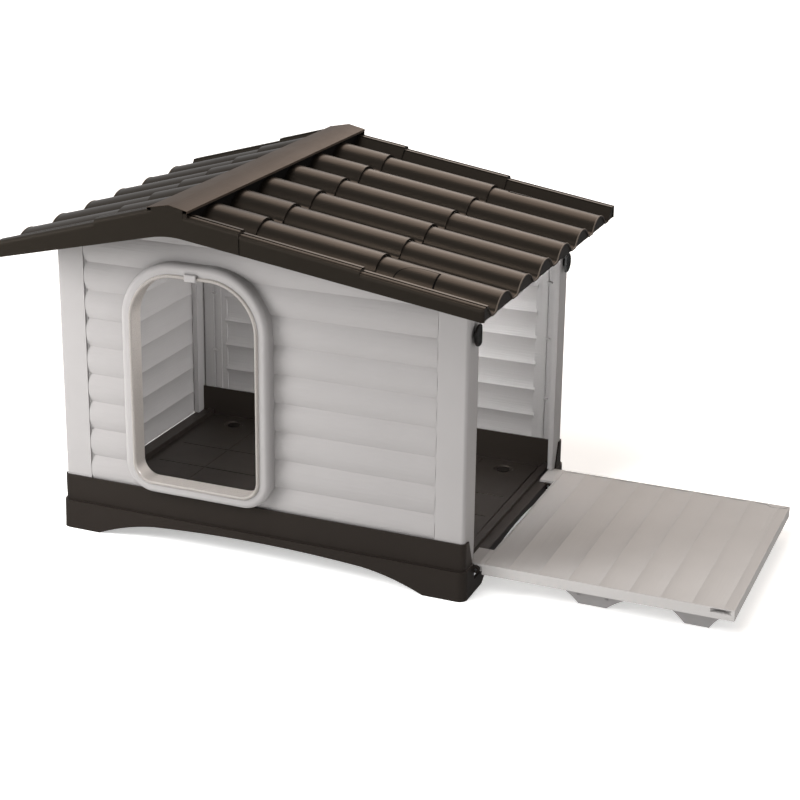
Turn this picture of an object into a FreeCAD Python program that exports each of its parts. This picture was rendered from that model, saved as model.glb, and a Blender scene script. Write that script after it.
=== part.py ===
import FreeCAD, Part
import math
import os

from FreeCAD import Vector

# A flat-packed plastic dog kennel with a side panel that folds down to make a porch.
# All sizes are in millimetres. X runs along the front wall, Y from front to back, Z up.
# The house is drawn about its own centre and moved, when it is saved, to the middle of
# the ground that house and porch cover together.

# Roof outline
eave_half = 440.0
verge_width = 47.1
ridge_x = -104.0
ridge_z = 650.0
cap_left_x = -144.0
cap_right_x = -70.0
cap_left_z = 642.0
cap_right_z = 642.5
roof_wall = 2.6
left_eave_z = 551.0
right_eave_z = 545.0
left_pitch = 0.285
right_pitch = 0.155
left_course_x = -245.0
roof_seam_x = 23.0
right_course_x = 233.0
left_fascia_z = 522.0
left_fascia_pitch = 0.2326
right_fascia_z = 521.5
right_fascia_pitch = 0.141
fascia_arch_radius = 160.0

# Roof rolls and verges
roll_count = 6
roll_pitch = 104.3
roll_height = 22.0
pan_width = 10.0
valley_width = 10.6
valley_height = 5.0
verge_bevel_width = 10.0
verge_bevel_drop = 6.5
verge_groove_width = 5.0
verge_groove_depth = 2.5
verge_rib_width = 4.0
verge_rib_setback = 17.0
verge_fall_width = 20.0
corner_bead_radius = 5.0
tongue_length = 15.0
seam_gap = 0.4
seat_rib_depth = 14.0
seat_rib_wall = 2.5
seat_rib_reach = 318.0
seat_rib_room = 1.0

# Covers over the roof screws
cover_left_x = 264.0
cover_right_x = 330.0
cover_straight = 22.0
cover_inner_offset = 12.8
cover_outer_offset = 45.2
cover_gap = 0.5
cover_ledge = 4.0
roof_screw_x = 300.0
roof_screw_setback = 7.0
roof_screw_radius = 2.0
roof_screw_length = 34.0
screw_head_radius = 4.5
screw_head_height = 3.0
screw_head_sides = 6
screw_head_gap = 0.1
screw_seat_drop = 14.0
screw_hole_gap = 0.05
screw_boss_radius = 5.0
screw_edge = 2.0
screw_boss_depth = 30.0

# Walls and posts
wall_half_x = 382.6
wall_half_y = 263.0
wall_thickness = 3.0
board_pitch = 51.4
board_bulge = 5.0
first_crease_z = 92.0
margin_depth = 3.3
margin_thickness = 2.8
margin_setback = 10.6
fit_gap = 0.3
post_wall = 3.0
post_front_width = 52.6
post_side_width = 47.0
post_panel_lap = 10.0
post_corner_radius = 6.0
post_inner_reach = 338.0
post_lip = 10.0
post_groove_x = 350.0
post_groove_width = 4.0
post_groove_depth = 1.4
post_clip_heights = (180.0, 300.0, 410.0)
post_clip_size = 4.0
post_clip_length = 9.0
post_clip_lap = 2.0
header_bottom_z = 470.0
header_lap = 12.0

# Doorway and its metal guard
door_left_x = -224.0
door_right_x = 9.5
door_bottom_z = 126.0
door_top_z = 502.0
door_top_radius = 84.0
door_bottom_radius = 30.0
surround_width = 24.0
surround_projection = 20.0
surround_wall = 3.0
surround_bevel = 8.5
guard_room = 1.5
guard_sheet = 1.2
guard_bead_width = 8.5
guard_bead_height = 3.2
guard_bevel = 1.3
guard_split = 2.0
clip_width = 23.0
clip_wall = 2.0
clip_bevel = 1.5

# Base tray
skirt_ledge_x = 6.4
skirt_ledge_y = 10.0
skirt_draft = 1.0
skirt_wall = 4.0
skirt_corner = 14.0
ledge_z = 52.6
upstand_room = 2.9
upstand_wall = 2.6
upstand_top_z = 101.0
upstand_corner = 9.0
inner_upstand_depth = 13.5
inner_upstand_wall = 3.1
floor_z = 45.0
floor_thickness = 3.5
slant_top_setback = 2.5
slant_bottom_setback = 21.5
sill_strip_z = 49.2
sill_ridge_z = 54.0
sill_ridge_x = 356.0
sill_ridge_width = 12.0
gutter_x = 345.0
gutter_depth = 1.5
front_foot_length = 76.0
side_foot_length = 84.0
arch_crown_z = 38.5
arch_shoulder_share = 0.64
arch_shoulder_rise = 0.8
arch_bend_share = 0.85
arch_bend_rise = 0.45
foot_pad_width = 18.0
foot_pad_height = 4.0
rib_spacing = 200.0
rib_wall = 3.0
rib_bottom_z = 28.0
floor_groove_rows = (-114.0, -18.0, 78.0)
floor_groove_column = 234.0
floor_groove_width = 3.0
floor_groove_depth = 1.0
floor_groove_end = 12.0
drain_x = 288.0
drain_y = 206.0
drain_dish_radius = 19.0
drain_dish_depth = 2.0
drain_hole_radius = 9.0
plug_flange_radius = 12.0
plug_flange_height = 1.6

# Side panel, folded down as a porch, and its hinge
porch_end_x = 830.0
deck_top_z = 54.0
panel_depth = 19.0
panel_gap = 0.8
panel_skin = 3.0
panel_rim = 3.0
panel_foot_gap = 0.6
panel_board_pitch = 52.0
panel_first_crease = 55.0
panel_inner_sag = 1.5
panel_board_bulge = 4.0
panel_frame_setback = 0.5
hinge_out = 4.0
hinge_pin_radius = 2.5
pin_fit = 0.02
knuckle_radius = 6.0
running_gap = 0.08
ear_width = 61.0
ear_reach = 18.0
ear_thickness = 4.5
knuckle_margin = 5.0
pocket_clearance = 1.2
lug_thickness = 5.0
lug_gap = 0.5
left_screw_heights = (120.0, 430.0)
panel_boss_radius = 3.8
panel_boss_inset = 3.8
panel_screw_head_radius = 2.9
panel_boss_depth = 11.0

# Folding legs under the porch
leg_y = 190.0
leg_thickness = 9.0
leg_start_x = 518.0
leg_end_x = 814.0
leg_pivot_depth = 13.5
leg_pin_radius = 2.0
leg_pin_length = 16.0
leg_arch_z = 30.0
leg_middle_z = 28.0
leg_middle_start_x = 663.0
leg_middle_end_x = 705.0
leg_flare_share = 0.38
leg_flare_rise = 0.5
leg_mark_width = 1.8
leg_mark_depth = 0.9
foot_one_start_x = 562.5
foot_one_end_x = 611.0
foot_two_start_x = 743.0
foot_two_end_x = 784.0
trough_side_room = 3.5
trough_end_room = 0.5
trough_wall = 2.5
trough_floor_room = 1.0

# Turn buttons that hold the closed panel
latch_out = 9.0
latch_z = 459.0
latch_radius = 18.5
latch_flat = 8.6
latch_disc = 4.6
latch_stand = 4.6
latch_hub_radius = 7.0
latch_edge = 1.5
latch_bore_depth = 1.5
latch_screw_radius = 2.5
keeper_radius = 19.5
keeper_lip = 1.7
keeper_room = 0.5

# Values that follow from the sizes above
frame_shift_x = -(porch_end_x - eave_half) / 2
skirt_half_x = wall_half_x + skirt_ledge_x
skirt_half_y = wall_half_y + skirt_ledge_y
upstand_half_x = wall_half_x + upstand_room
upstand_half_y = wall_half_y + upstand_room
inner_upstand_y = wall_half_y - inner_upstand_depth
slant_top_y = inner_upstand_y - slant_top_setback
slant_bottom_y = inner_upstand_y - slant_bottom_setback
front_foot_x = skirt_half_x - front_foot_length
side_foot_y = skirt_half_y - side_foot_length
panel_half_y = wall_half_y - post_side_width + post_panel_lap
hinge_x = skirt_half_x + hinge_out
ear_inner_y = panel_half_y - ear_width
knuckle_inner_y = ear_inner_y + knuckle_margin
knuckle_outer_y = panel_half_y - knuckle_margin
latch_y = panel_half_y + latch_out
panel_inner_x = wall_half_x + panel_gap
panel_outer_x = panel_inner_x + panel_depth
hinge_z = deck_top_z - (hinge_x - panel_inner_x)
panel_bottom_z = ledge_z + panel_foot_gap
panel_top_z = hinge_z + porch_end_x - hinge_x
roll_half = (roll_pitch - pan_width) / 2
verge_half = roll_count * roll_pitch / 2 + verge_width
crest_half = roll_half - valley_width
crest_height = roll_height - valley_height
crest_turn = 2 * math.atan(crest_height / crest_half)
crest_radius = crest_half / math.sin(crest_turn)
course_step = (roof_wall + seam_gap) / math.cos(crest_turn)
first_roll_y = (roll_count - 1) * roll_pitch / 2
cover_inner_y = first_roll_y - cover_inner_offset
cover_outer_y = first_roll_y + cover_outer_offset
roof_screw_y = wall_half_y - roof_screw_setback
field_half = wall_half_x - post_front_width - 2 * fit_gap
margin_reach = wall_half_x - margin_setback
leg_pivot_inset = panel_depth - leg_pivot_depth
leg_pivot_z = deck_top_z - leg_pivot_depth
board_seat_z = ledge_z + fit_gap
big = 2000.0
deep = 200.0
past = 10.0
touch = 0.01
course_margin = 250.0


def box(x0, x1, y0, y1, z0, z1):
    """A block between two corners."""
    return Part.makeBox(x1 - x0, y1 - y0, z1 - z0, Vector(x0, y0, z0))


def rod(start, direction, radius, length):
    """A round bar."""
    return Part.makeCylinder(radius, length, start, direction)


def hex_screw(place, direction, head_radius, shank_radius, length):
    """A screw whose six-sided head stands on its place and whose shank goes the other way."""
    turns = [math.tau * corner / screw_head_sides for corner in range(screw_head_sides + 1)]
    outline = [Vector(head_radius * math.cos(turn), head_radius * math.sin(turn), 0) for turn in turns]
    head = Part.Face(Part.makePolygon(outline)).extrude(Vector(0, 0, screw_head_height))
    shank = rod(Vector(0, 0, 0), Vector(0, 0, -1), shank_radius, length)
    screw = head.fuse(shank)
    screw.Placement = FreeCAD.Placement(place, FreeCAD.Rotation(Vector(0, 0, 1), direction))
    return screw


def polygon_prism(points, along):
    """A flat polygon pulled along a vector."""
    wire = Part.makePolygon(points + [points[0]])
    return Part.Face(wire).extrude(along)


def both_sides(make):
    """The same detail at the front and, mirrored, at the back."""
    front = make()
    return front.fuse(front.mirror(Vector(0, 0, 0), Vector(0, 1, 0)))


def arc(start, middle, end):
    """An arc through three points, as an edge."""
    return Part.Arc(start, middle, end).toShape()


def line(start, end):
    """A straight edge."""
    return Part.LineSegment(start, end).toShape()


def rounded_rectangle(half_x, half_y, radius, z):
    """A closed outline with round corners, centred on the Z axis."""
    block = box(-half_x, half_x, -half_y, half_y, z, z + 1)
    uprights = [edge for edge in block.Edges if abs(edge.Vertexes[0].Z - edge.Vertexes[1].Z) > touch]
    rounded = block.makeFillet(radius, uprights)
    lowest = min(rounded.Faces, key=lambda face: face.CenterOfMass.z)
    return lowest.OuterWire


# The roof


def crossing(start, end, inset, level):
    """Y at which a slanted line of the verge, moved inwards by the inset, meets a level."""
    run = end - start
    moved = start + Vector(0, run.z, -run.y) * (inset / run.Length)
    return moved.y + (level - moved.z) * run.y / run.z


def verge_points(inset):
    """Corner points of the front verge, from its foot to the first valley of the roof."""
    outer_y = -verge_half + inset
    rib_outer = -verge_half + verge_rib_setback
    rib_inner = rib_outer + verge_rib_width
    groove_outer = -verge_half + verge_bevel_width
    groove_inner = groove_outer + verge_groove_width
    bottom = -deep
    low = -roll_height - inset
    bevel = (Vector(0, -verge_half, -verge_bevel_drop), Vector(0, groove_outer, 0))
    fall = (Vector(0, rib_inner, -verge_groove_depth), Vector(0, rib_inner + verge_fall_width, -roll_height))
    if inset == 0:
        return [
            Vector(0, outer_y, bottom),
            bevel[0],
            bevel[1],
            Vector(0, groove_outer, -verge_groove_depth),
            Vector(0, groove_inner, -verge_groove_depth),
            Vector(0, groove_inner, 0),
            Vector(0, rib_inner, 0),
            fall[0],
            fall[1],
        ]
    flat = -verge_groove_depth - inset
    corner_y = crossing(bevel[0], bevel[1], inset, flat)
    slope = verge_bevel_drop / verge_bevel_width
    return [
        Vector(0, outer_y, bottom),
        Vector(0, outer_y, flat - (corner_y - outer_y) * slope),
        Vector(0, corner_y, flat),
        Vector(0, crossing(fall[0], fall[1], inset, flat), flat),
        Vector(0, crossing(fall[0], fall[1], inset, low), low),
    ]


def roof_section(inset):
    """Cross-section of the roof at level zero, in the plane X = 0, pulled in by an inset.

    The six half-round rolls stand between the two verges. Each roll is a crest arc with a
    narrow bevel at either foot, and a flat pan lies between two rolls.
    """
    crest = crest_radius - inset
    low = -roll_height - inset
    turn_y = crest * math.sin(crest_turn)
    turn_z = crest * math.cos(crest_turn) - crest_radius
    front_half = verge_points(inset)
    back_half = [Vector(0, -p.y, p.z) for p in reversed(front_half)]
    edges = [line(a, b) for a, b in zip(front_half, front_half[1:])]
    last = front_half[-1]
    for index in range(roll_count):
        centre = roll_pitch * (index + 0.5 - roll_count / 2)
        left_foot = Vector(0, centre - roll_half, low)
        right_foot = Vector(0, centre + roll_half, low)
        left_turn = Vector(0, centre - turn_y, turn_z)
        right_turn = Vector(0, centre + turn_y, turn_z)
        edges.append(line(last, left_foot))
        edges.append(line(left_foot, left_turn))
        edges.append(arc(left_turn, Vector(0, centre, -inset), right_turn))
        edges.append(line(right_turn, right_foot))
        last = right_foot
    edges.append(line(last, back_half[0]))
    edges.extend(line(a, b) for a, b in zip(back_half, back_half[1:]))
    edges.append(line(back_half[-1], front_half[0]))
    return Part.Face(Part.Wire(edges))


def pan_section():
    """A flat-topped section at the underside of the pans, for what stands below the roof."""
    top = -roll_height - roof_wall - fit_gap
    half = verge_half - roof_wall - 1
    return Part.Face(Part.makePolygon([
        Vector(0, -half, -ridge_z), Vector(0, half, -ridge_z),
        Vector(0, half, top), Vector(0, -half, top), Vector(0, -half, -ridge_z)]))


def course(section, x_high, x_low, z_low, pitch):
    """One course of the roof: the section, set square to the slope, carried down to its end."""
    side = 1 if x_low > x_high else -1
    run = abs(x_low - x_high) + 2 * course_margin
    start = section.copy()
    start.rotate(Vector(0, 0, 0), Vector(0, 1, 0), side * math.degrees(math.atan(pitch)))
    start.translate(Vector(x_high - side * course_margin, 0, z_low + (run - course_margin) * pitch))
    length = start.extrude(Vector(side * run, 0, -run * pitch))
    return length.common(box(min(x_low, x_high), max(x_low, x_high), -big, big, -big, big))


def course_levels():
    """Lower end, upper end, level at the lower end and pitch of every course, eave first.

    Each course ends one step above the course below it, as overlapping tiles do.
    """
    left_low = (-eave_half, left_course_x, left_eave_z, left_pitch)
    left_rise = (left_course_x + eave_half) * left_pitch
    left_high = (left_course_x, cap_left_x + roof_wall, left_eave_z + left_rise + course_step, left_pitch)
    right_low = (eave_half, right_course_x, right_eave_z, right_pitch)
    right_middle_z = right_eave_z + (eave_half - right_course_x) * right_pitch + course_step
    right_middle = (right_course_x, roof_seam_x, right_middle_z, right_pitch)
    right_high_z = right_middle_z + (right_course_x - roof_seam_x) * right_pitch + course_step
    right_high = (roof_seam_x, cap_right_x - roof_wall, right_high_z, right_pitch)
    return left_low, left_high, right_low, right_middle, right_high


def cap_block(inset):
    """The ridge cap with its two flat facets, as a block that reaches down into the roof."""
    half = verge_half - inset
    points = [
        Vector(cap_left_x + inset, -half, cap_left_z - inset),
        Vector(ridge_x, -half, ridge_z - inset),
        Vector(cap_right_x - inset, -half, cap_right_z - inset),
        Vector(cap_right_x - inset, -half, left_fascia_z - deep),
        Vector(cap_left_x + inset, -half, left_fascia_z - deep),
    ]
    return polygon_prism(points, Vector(0, 2 * half, 0))


def under_roof(section_of_part, gap):
    """Everything under the courses of the whole roof, for one section."""
    levels = course_levels()
    pieces = []
    for low_x, high_x, low_z, pitch in levels:
        side = 1 if low_x > high_x else -1
        pieces.append(course(section_of_part, high_x - side * gap, low_x - side * gap,
                             low_z + gap * pitch, pitch))
    return pieces


def fascia_cutter():
    """All that lies above the lower edge of the gable fascia, which arches under the ridge."""
    left = Vector(-eave_half - past, 0, left_fascia_z - past * left_fascia_pitch)
    right = Vector(eave_half + past, 0, right_fascia_z - past * right_fascia_pitch)
    peak_x = (right_fascia_z + right_fascia_pitch * eave_half - left_fascia_z
              - left_fascia_pitch * eave_half) / (left_fascia_pitch + right_fascia_pitch)
    peak_z = left_fascia_z + left_fascia_pitch * (peak_x + eave_half)
    turn = math.atan(left_fascia_pitch) + math.atan(right_fascia_pitch)
    setback = fascia_arch_radius * math.tan(turn / 2)
    left_slope = math.atan(left_fascia_pitch)
    right_slope = math.atan(right_fascia_pitch)
    start = Vector(peak_x - setback * math.cos(left_slope), 0, peak_z - setback * math.sin(left_slope))
    end = Vector(peak_x + setback * math.cos(right_slope), 0, peak_z - setback * math.sin(right_slope))
    lean = (left_slope - right_slope) / 2
    sag = fascia_arch_radius * (1 / math.cos(turn / 2) - 1)
    middle = Vector(peak_x + sag * math.sin(lean), 0, peak_z - sag * math.cos(lean))
    top_left = Vector(left.x, 0, big / 2)
    top_right = Vector(right.x, 0, big / 2)
    edges = [line(left, start), arc(start, middle, end), line(end, right), line(right, top_right),
             line(top_right, top_left), line(top_left, left)]
    face = Part.Face(Part.Wire(edges))
    face.translate(Vector(0, -verge_half - past, 0))
    return face.extrude(Vector(0, 2 * (verge_half + past), 0))


def corner_beads():
    """Upright round beads at the four corners of the roof."""
    beads = []
    for side_x, level, bottom in ((-1, left_eave_z, left_fascia_z), (1, right_eave_z, right_fascia_z)):
        height = level - verge_bevel_drop - bottom
        for side_y in (-1, 1):
            x = side_x * (eave_half - corner_bead_radius)
            y = side_y * (verge_half - corner_bead_radius)
            beads.append(rod(Vector(x, y, bottom), Vector(0, 0, 1), corner_bead_radius, height))
    return beads


def roof_corner_cut(beads):
    """The sharp roof corners outside the beads."""
    cuts = []
    for side_x in (-1, 1):
        for side_y in (-1, 1):
            x0, x1 = sorted((side_x * (eave_half + past), side_x * (eave_half - corner_bead_radius)))
            y0, y1 = sorted((side_y * (verge_half + past), side_y * (verge_half - corner_bead_radius)))
            cuts.append(box(x0, x1, y0, y1, 0, big))
    return Part.makeCompound(cuts).cut(Part.makeCompound(beads))


def roof_solid():
    """The whole roof as one shell, before it is parted at the seam."""
    section = roof_section(0)
    inner_section = roof_section(roof_wall)
    outer = cap_block(0)
    for piece in under_roof(section, 0):
        outer = outer.fuse(piece)
    outer = outer.common(fascia_cutter())
    inner = cap_block(roof_wall)
    for piece in under_roof(inner_section, roof_wall):
        inner = inner.fuse(piece)
    end_x = eave_half - roof_wall
    inner = inner.common(box(-end_x, end_x, -verge_half, verge_half, 0, big))
    shell = outer.cut(inner)
    shell = shell.cut(roof_corner_cut(corner_beads()))
    return shell, outer


def seat_ribs(outer):
    """Ribs under the roof on either side of each gable wall, which seat it on the walls."""
    below = roll_height + roof_wall + seat_rib_depth
    section = Part.Face(Part.makePolygon([
        Vector(0, -big, -below), Vector(0, big, -below), Vector(0, big, 0),
        Vector(0, -big, 0), Vector(0, -big, -below)]))
    band = None
    for piece in under_roof(section, 0):
        band = piece if band is None else band.fuse(piece)
    outer_y = wall_half_y + fit_gap
    inner_y = wall_half_y - board_bulge - wall_thickness - fit_gap
    ribs = None
    for side in (-1, 1):
        for edge in (outer_y, inner_y - seat_rib_wall):
            y0, y1 = sorted((side * edge, side * (edge + seat_rib_wall)))
            rib = box(-seat_rib_reach, seat_rib_reach, y0, y1, 0, big)
            ribs = rib if ribs is None else ribs.fuse(rib)
    ribs = ribs.cut(box(cover_left_x - cover_ledge, big, -big, big, 0, big))
    return ribs.common(band).common(outer)


def cover_outline(grow):
    """The D-shaped outline of a front cover, grown by a distance, as an upright prism."""
    x0 = cover_left_x - grow
    x1 = cover_right_x + grow
    y0 = -cover_outer_y - grow
    y1 = -cover_inner_y + grow
    round_end = x1 - cover_straight
    low = Vector(x0, y0, 0)
    top = Vector(round_end, y1, 0)
    span = round_end - x0
    bow = Vector(x0 + span * (1 - math.cos(math.pi / 4)), y0 + (y1 - y0) * math.sin(math.pi / 4), 0)
    edges = [line(Vector(x1, y0, 0), low), arc(low, bow, top), line(top, Vector(x1, y1, 0)),
             line(Vector(x1, y1, 0), Vector(x1, y0, 0))]
    return Part.Face(Part.Wire(edges)).extrude(Vector(0, 0, big))


def turned_to_back(shape):
    """A half turn about the upright axis through the middle of the covers."""
    turned = shape.copy()
    turned.rotate(Vector((cover_left_x + cover_right_x) / 2, 0, 0), Vector(0, 0, 1), 180)
    return turned


def make_roof():
    """Left and right roof mouldings, the screw covers and the screws under them."""
    shell, outer = roof_solid()
    shell = shell.fuse(seat_ribs(outer))
    half = box(-big, roof_seam_x, -big, big, 0, big)
    roof_left = shell.common(half)
    right_half = box(roof_seam_x + seam_gap, big, -big, big, 0, big)
    roof_right = shell.common(right_half)

    low_x, high_x, low_z, pitch = course_levels()[-2]
    end_x = high_x + seam_gap + roof_wall
    end_z = low_z + (low_x - end_x) * pitch
    tongue = course(roof_section(0), high_x - tongue_length, end_x, end_z, pitch)
    tongue = tongue.cut(course(roof_section(roof_wall), high_x - tongue_length - 1, end_x + 1,
                               end_z - pitch, pitch))
    reach = roll_pitch * roll_count / 2
    zone_outer = wall_half_y + fit_gap + seat_rib_wall + seat_rib_room
    zone_inner = wall_half_y - board_bulge - wall_thickness - fit_gap - seat_rib_wall - seat_rib_room
    room = box(-big, big, -reach, reach, left_fascia_z + roll_height, big)
    tongue = tongue.common(room)
    rib_zone = both_sides(lambda: box(-big, roof_seam_x + seam_gap, -zone_outer, -zone_inner, 0, big))
    tongue = tongue.cut(rib_zone)
    roof_right = roof_right.fuse(tongue)
    low_x, high_x, low_z, pitch = course_levels()[-1]
    riser = course(roof_section(roof_wall), low_x - roof_wall - 1, low_x + 1, low_z - pitch, pitch)
    roof_left = roof_left.cut(riser.common(box(-big, big, -reach - fit_gap, reach + fit_gap, 0, big)))

    ledge = None
    hole = None
    cover = None
    level = under_roof(roof_section(roof_wall), roof_wall)[2]
    deeper = under_roof(roof_section(2 * roof_wall), roof_wall)[2]
    ring_front = cover_outline(cover_ledge).cut(cover_outline(-cover_ledge))
    plate_front = cover_outline(-cover_gap)
    for outline, ring, plate in ((cover_outline(0), ring_front, plate_front),
                                 (turned_to_back(cover_outline(0)), turned_to_back(ring_front),
                                  turned_to_back(plate_front))):
        under = level.cut(deeper).common(ring)
        skin = roof_right.common(plate)
        skin = skin.cut(level)
        ledge = under if ledge is None else ledge.fuse(under)
        hole = outline.cut(level) if hole is None else hole.fuse(outline.cut(level))
        cover = skin if cover is None else cover.fuse(skin)
    roof_right = roof_right.cut(hole).fuse(ledge)
    cover.translate(Vector(0, 0, fit_gap / 2))

    screws = None
    crest = right_eave_z + (eave_half - roof_screw_x) * right_pitch
    seat_z = crest - screw_seat_drop
    reach = screw_head_radius + screw_edge
    foot_z = crest - roll_height - roof_wall + reach * right_pitch + fit_gap
    up = Vector(0, 0, 1)
    for side in (-1, 1):
        foot = Vector(roof_screw_x, side * roof_screw_y, foot_z)
        seat = Vector(roof_screw_x, side * roof_screw_y, seat_z)
        y0, y1 = sorted((side * (roof_screw_y + reach), side * (cover_inner_y - 2 * cover_ledge)))
        pillar = box(roof_screw_x - reach, roof_screw_x + reach, y0, y1, foot_z, crest).common(level)
        roof_right = roof_right.fuse(pillar)
        roof_right = roof_right.cut(rod(seat, up, screw_head_radius + 2 * fit_gap, roll_height))
        roof_right = roof_right.cut(rod(foot, up, roof_screw_radius + screw_hole_gap, roll_height))
        screw = hex_screw(seat, up, screw_head_radius, roof_screw_radius, roof_screw_length)
        screws = screw if screws is None else screws.fuse(screw)
    return roof_left.removeSplitter(), roof_right.removeSplitter(), cover, screws


# Walls of lap boards


def board_face(z0, z1, pitch, crease, bulge, thickness, first):
    """Cross-section of a sheet of lap boards in the plane X = 0.

    Every board bows outwards, towards minus Y, between two creases. The inside of the sheet
    follows the outside. Boards start at the crease height given, and are cut off at z0 and z1.
    """
    count_below = math.ceil((first - z0) / pitch)
    start = first - count_below * pitch
    count = math.ceil((z1 - start) / pitch)
    outer = []
    inner = []
    for index in range(count):
        low = start + index * pitch
        high = low + pitch
        middle = (low + high) / 2
        outer.append(arc(Vector(0, crease, low), Vector(0, crease - bulge, middle), Vector(0, crease, high)))
        inner.append(arc(Vector(0, crease + thickness, low), Vector(0, crease - bulge + thickness, middle),
                         Vector(0, crease + thickness, high)))
    top = start + count * pitch
    edges = outer + [line(Vector(0, crease, top), Vector(0, crease + thickness, top))]
    edges += inner + [line(Vector(0, crease, start), Vector(0, crease + thickness, start))]
    return Part.Face(Part.Wire(Part.__sortEdges__(edges)))


def board_wall():
    """Front wall without its door: boards, and the flat margins that go into the posts."""
    crease = -wall_half_y + board_bulge
    z0 = board_seat_z
    z1 = ridge_z
    sheet = board_face(z0, z1, board_pitch, crease, board_bulge, wall_thickness, first_crease_z)
    sheet.translate(Vector(-field_half, 0, 0))
    wall = sheet.extrude(Vector(2 * field_half, 0, 0))
    margin_y = -wall_half_y + margin_depth
    for side in (-1, 1):
        x0, x1 = sorted((side * (field_half - wall_thickness), side * margin_reach))
        wall = wall.fuse(box(x0, x1, margin_y, margin_y + margin_thickness, z0, z1))
    crest = right_eave_z + (eave_half - roof_screw_x) * right_pitch
    boss_z = crest - roll_height - roof_wall - screw_boss_depth
    foot = Vector(roof_screw_x, -roof_screw_y, boss_z)
    wall = wall.fuse(box(roof_screw_x - screw_boss_radius, roof_screw_x + screw_boss_radius,
                         -roof_screw_y - screw_boss_radius, -roof_screw_y + screw_boss_radius,
                         boss_z, boss_z + 2 * screw_boss_depth))
    wall = wall.cut(rod(foot, Vector(0, 0, 1), roof_screw_radius + screw_hole_gap, 2 * screw_boss_depth))
    return wall.common(box(-big, big, -big, big, z0, big)).common(gable_room())


def gable_room():
    """The space under the pans of the roof, which the tops of walls and posts follow."""
    pieces = under_roof(pan_section(), 0)
    ridge = box(cap_left_x, cap_right_x, -verge_half + roof_wall + 1, verge_half - roof_wall - 1, 0,
                cap_left_z - roll_height - roof_wall)
    room = ridge
    for piece in pieces:
        room = room.fuse(piece)
    return room


def door_outline(grow, y0, y1):
    """The doorway's outline, grown by a distance, as a prism from y0 to y1.

    The top corners are wide arcs and the bottom corners small ones.
    """
    x0 = door_left_x - grow
    x1 = door_right_x + grow
    z0 = door_bottom_z - grow
    z1 = door_top_z + grow
    top = door_top_radius + grow
    low = max(door_bottom_radius + grow, 1.0)
    block = box(x0, x1, y0, y1, z0, z1)
    tops = []
    lows = []
    for edge in block.Edges:
        first, second = edge.Vertexes[0].Point, edge.Vertexes[1].Point
        if abs(first.y - second.y) < (y1 - y0) / 2:
            continue
        if first.z > (z0 + z1) / 2:
            tops.append(edge)
        else:
            lows.append(edge)
    rounded = block.makeFillet(top, tops)
    lows = [edge for edge in rounded.Edges
            if abs(edge.Vertexes[0].Z - z0) < touch and abs(edge.Vertexes[-1].Z - z0) < touch
            and abs(edge.Vertexes[0].Y - edge.Vertexes[-1].Y) > (y1 - y0) / 2]
    return rounded.makeFillet(low, lows)


def edges_at_y(shape, y):
    """All edges that lie in one plane of constant Y."""
    return [edge for edge in shape.Edges if all(abs(vertex.Y - y) < touch for vertex in edge.Vertexes)
            and abs(edge.BoundBox.YLength) < touch]


def make_front_wall():
    """Board wall with the moulded surround of the doorway, open at its back."""
    wall = board_wall()
    front = -wall_half_y - surround_projection
    back = -wall_half_y + board_bulge + wall_thickness
    rim = door_outline(surround_width, front, back)
    rim = rim.makeChamfer(surround_bevel, edges_at_y(rim, front))
    rim = rim.cut(door_outline(guard_room, front - 1, back + 1))
    hollow = door_outline(surround_width - surround_wall, front + surround_wall, back + 1)
    hollow = hollow.makeChamfer(surround_bevel - surround_wall * (2 - math.sqrt(2)),
                                edges_at_y(hollow, front + surround_wall))
    hollow = hollow.cut(door_outline(guard_room + surround_wall, front, back + 1))
    rim = rim.cut(hollow)
    return wall.cut(door_outline(surround_width - surround_wall, front, back + 1)).fuse(rim)


def make_door_guard():
    """Metal guard that lines the doorway's edge, with a rounded bead in front, split at the top."""
    front = -wall_half_y - surround_projection
    back = -wall_half_y + board_bulge + wall_thickness
    bead = door_outline(guard_bead_width, front - fit_gap - guard_bead_height, front - fit_gap)
    bead = bead.makeChamfer(guard_bevel, edges_at_y(bead, front - fit_gap - guard_bead_height))
    lining = door_outline(guard_sheet, front - fit_gap, back)
    guard = bead.fuse(lining).cut(door_outline(0, front - past, back + 1))
    middle = (door_left_x + door_right_x) / 2
    split = box(middle - guard_split / 2, middle + guard_split / 2, front - past, back + 1,
                door_top_z - 1, door_top_z + surround_width)
    return guard.cut(split)


def make_guard_clip():
    """Clip over the two ends of the guard at the top of the doorway."""
    front = -wall_half_y - surround_projection
    middle = (door_left_x + door_right_x) / 2
    bead_front = front - fit_gap - guard_bead_height
    clip = box(middle - clip_width / 2, middle + clip_width / 2, bead_front - fit_gap - clip_wall,
               front - fit_gap, door_top_z - fit_gap - clip_wall,
               door_top_z + guard_bead_width + fit_gap + clip_wall)
    clip = clip.makeChamfer(clip_bevel, edges_at_y(clip, bead_front - fit_gap - clip_wall))
    room = door_outline(guard_bead_width + fit_gap, bead_front - fit_gap, front)
    room = room.cut(door_outline(-fit_gap, bead_front - past, front + past))
    return clip.cut(room)


# Corner posts and header rails


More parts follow.
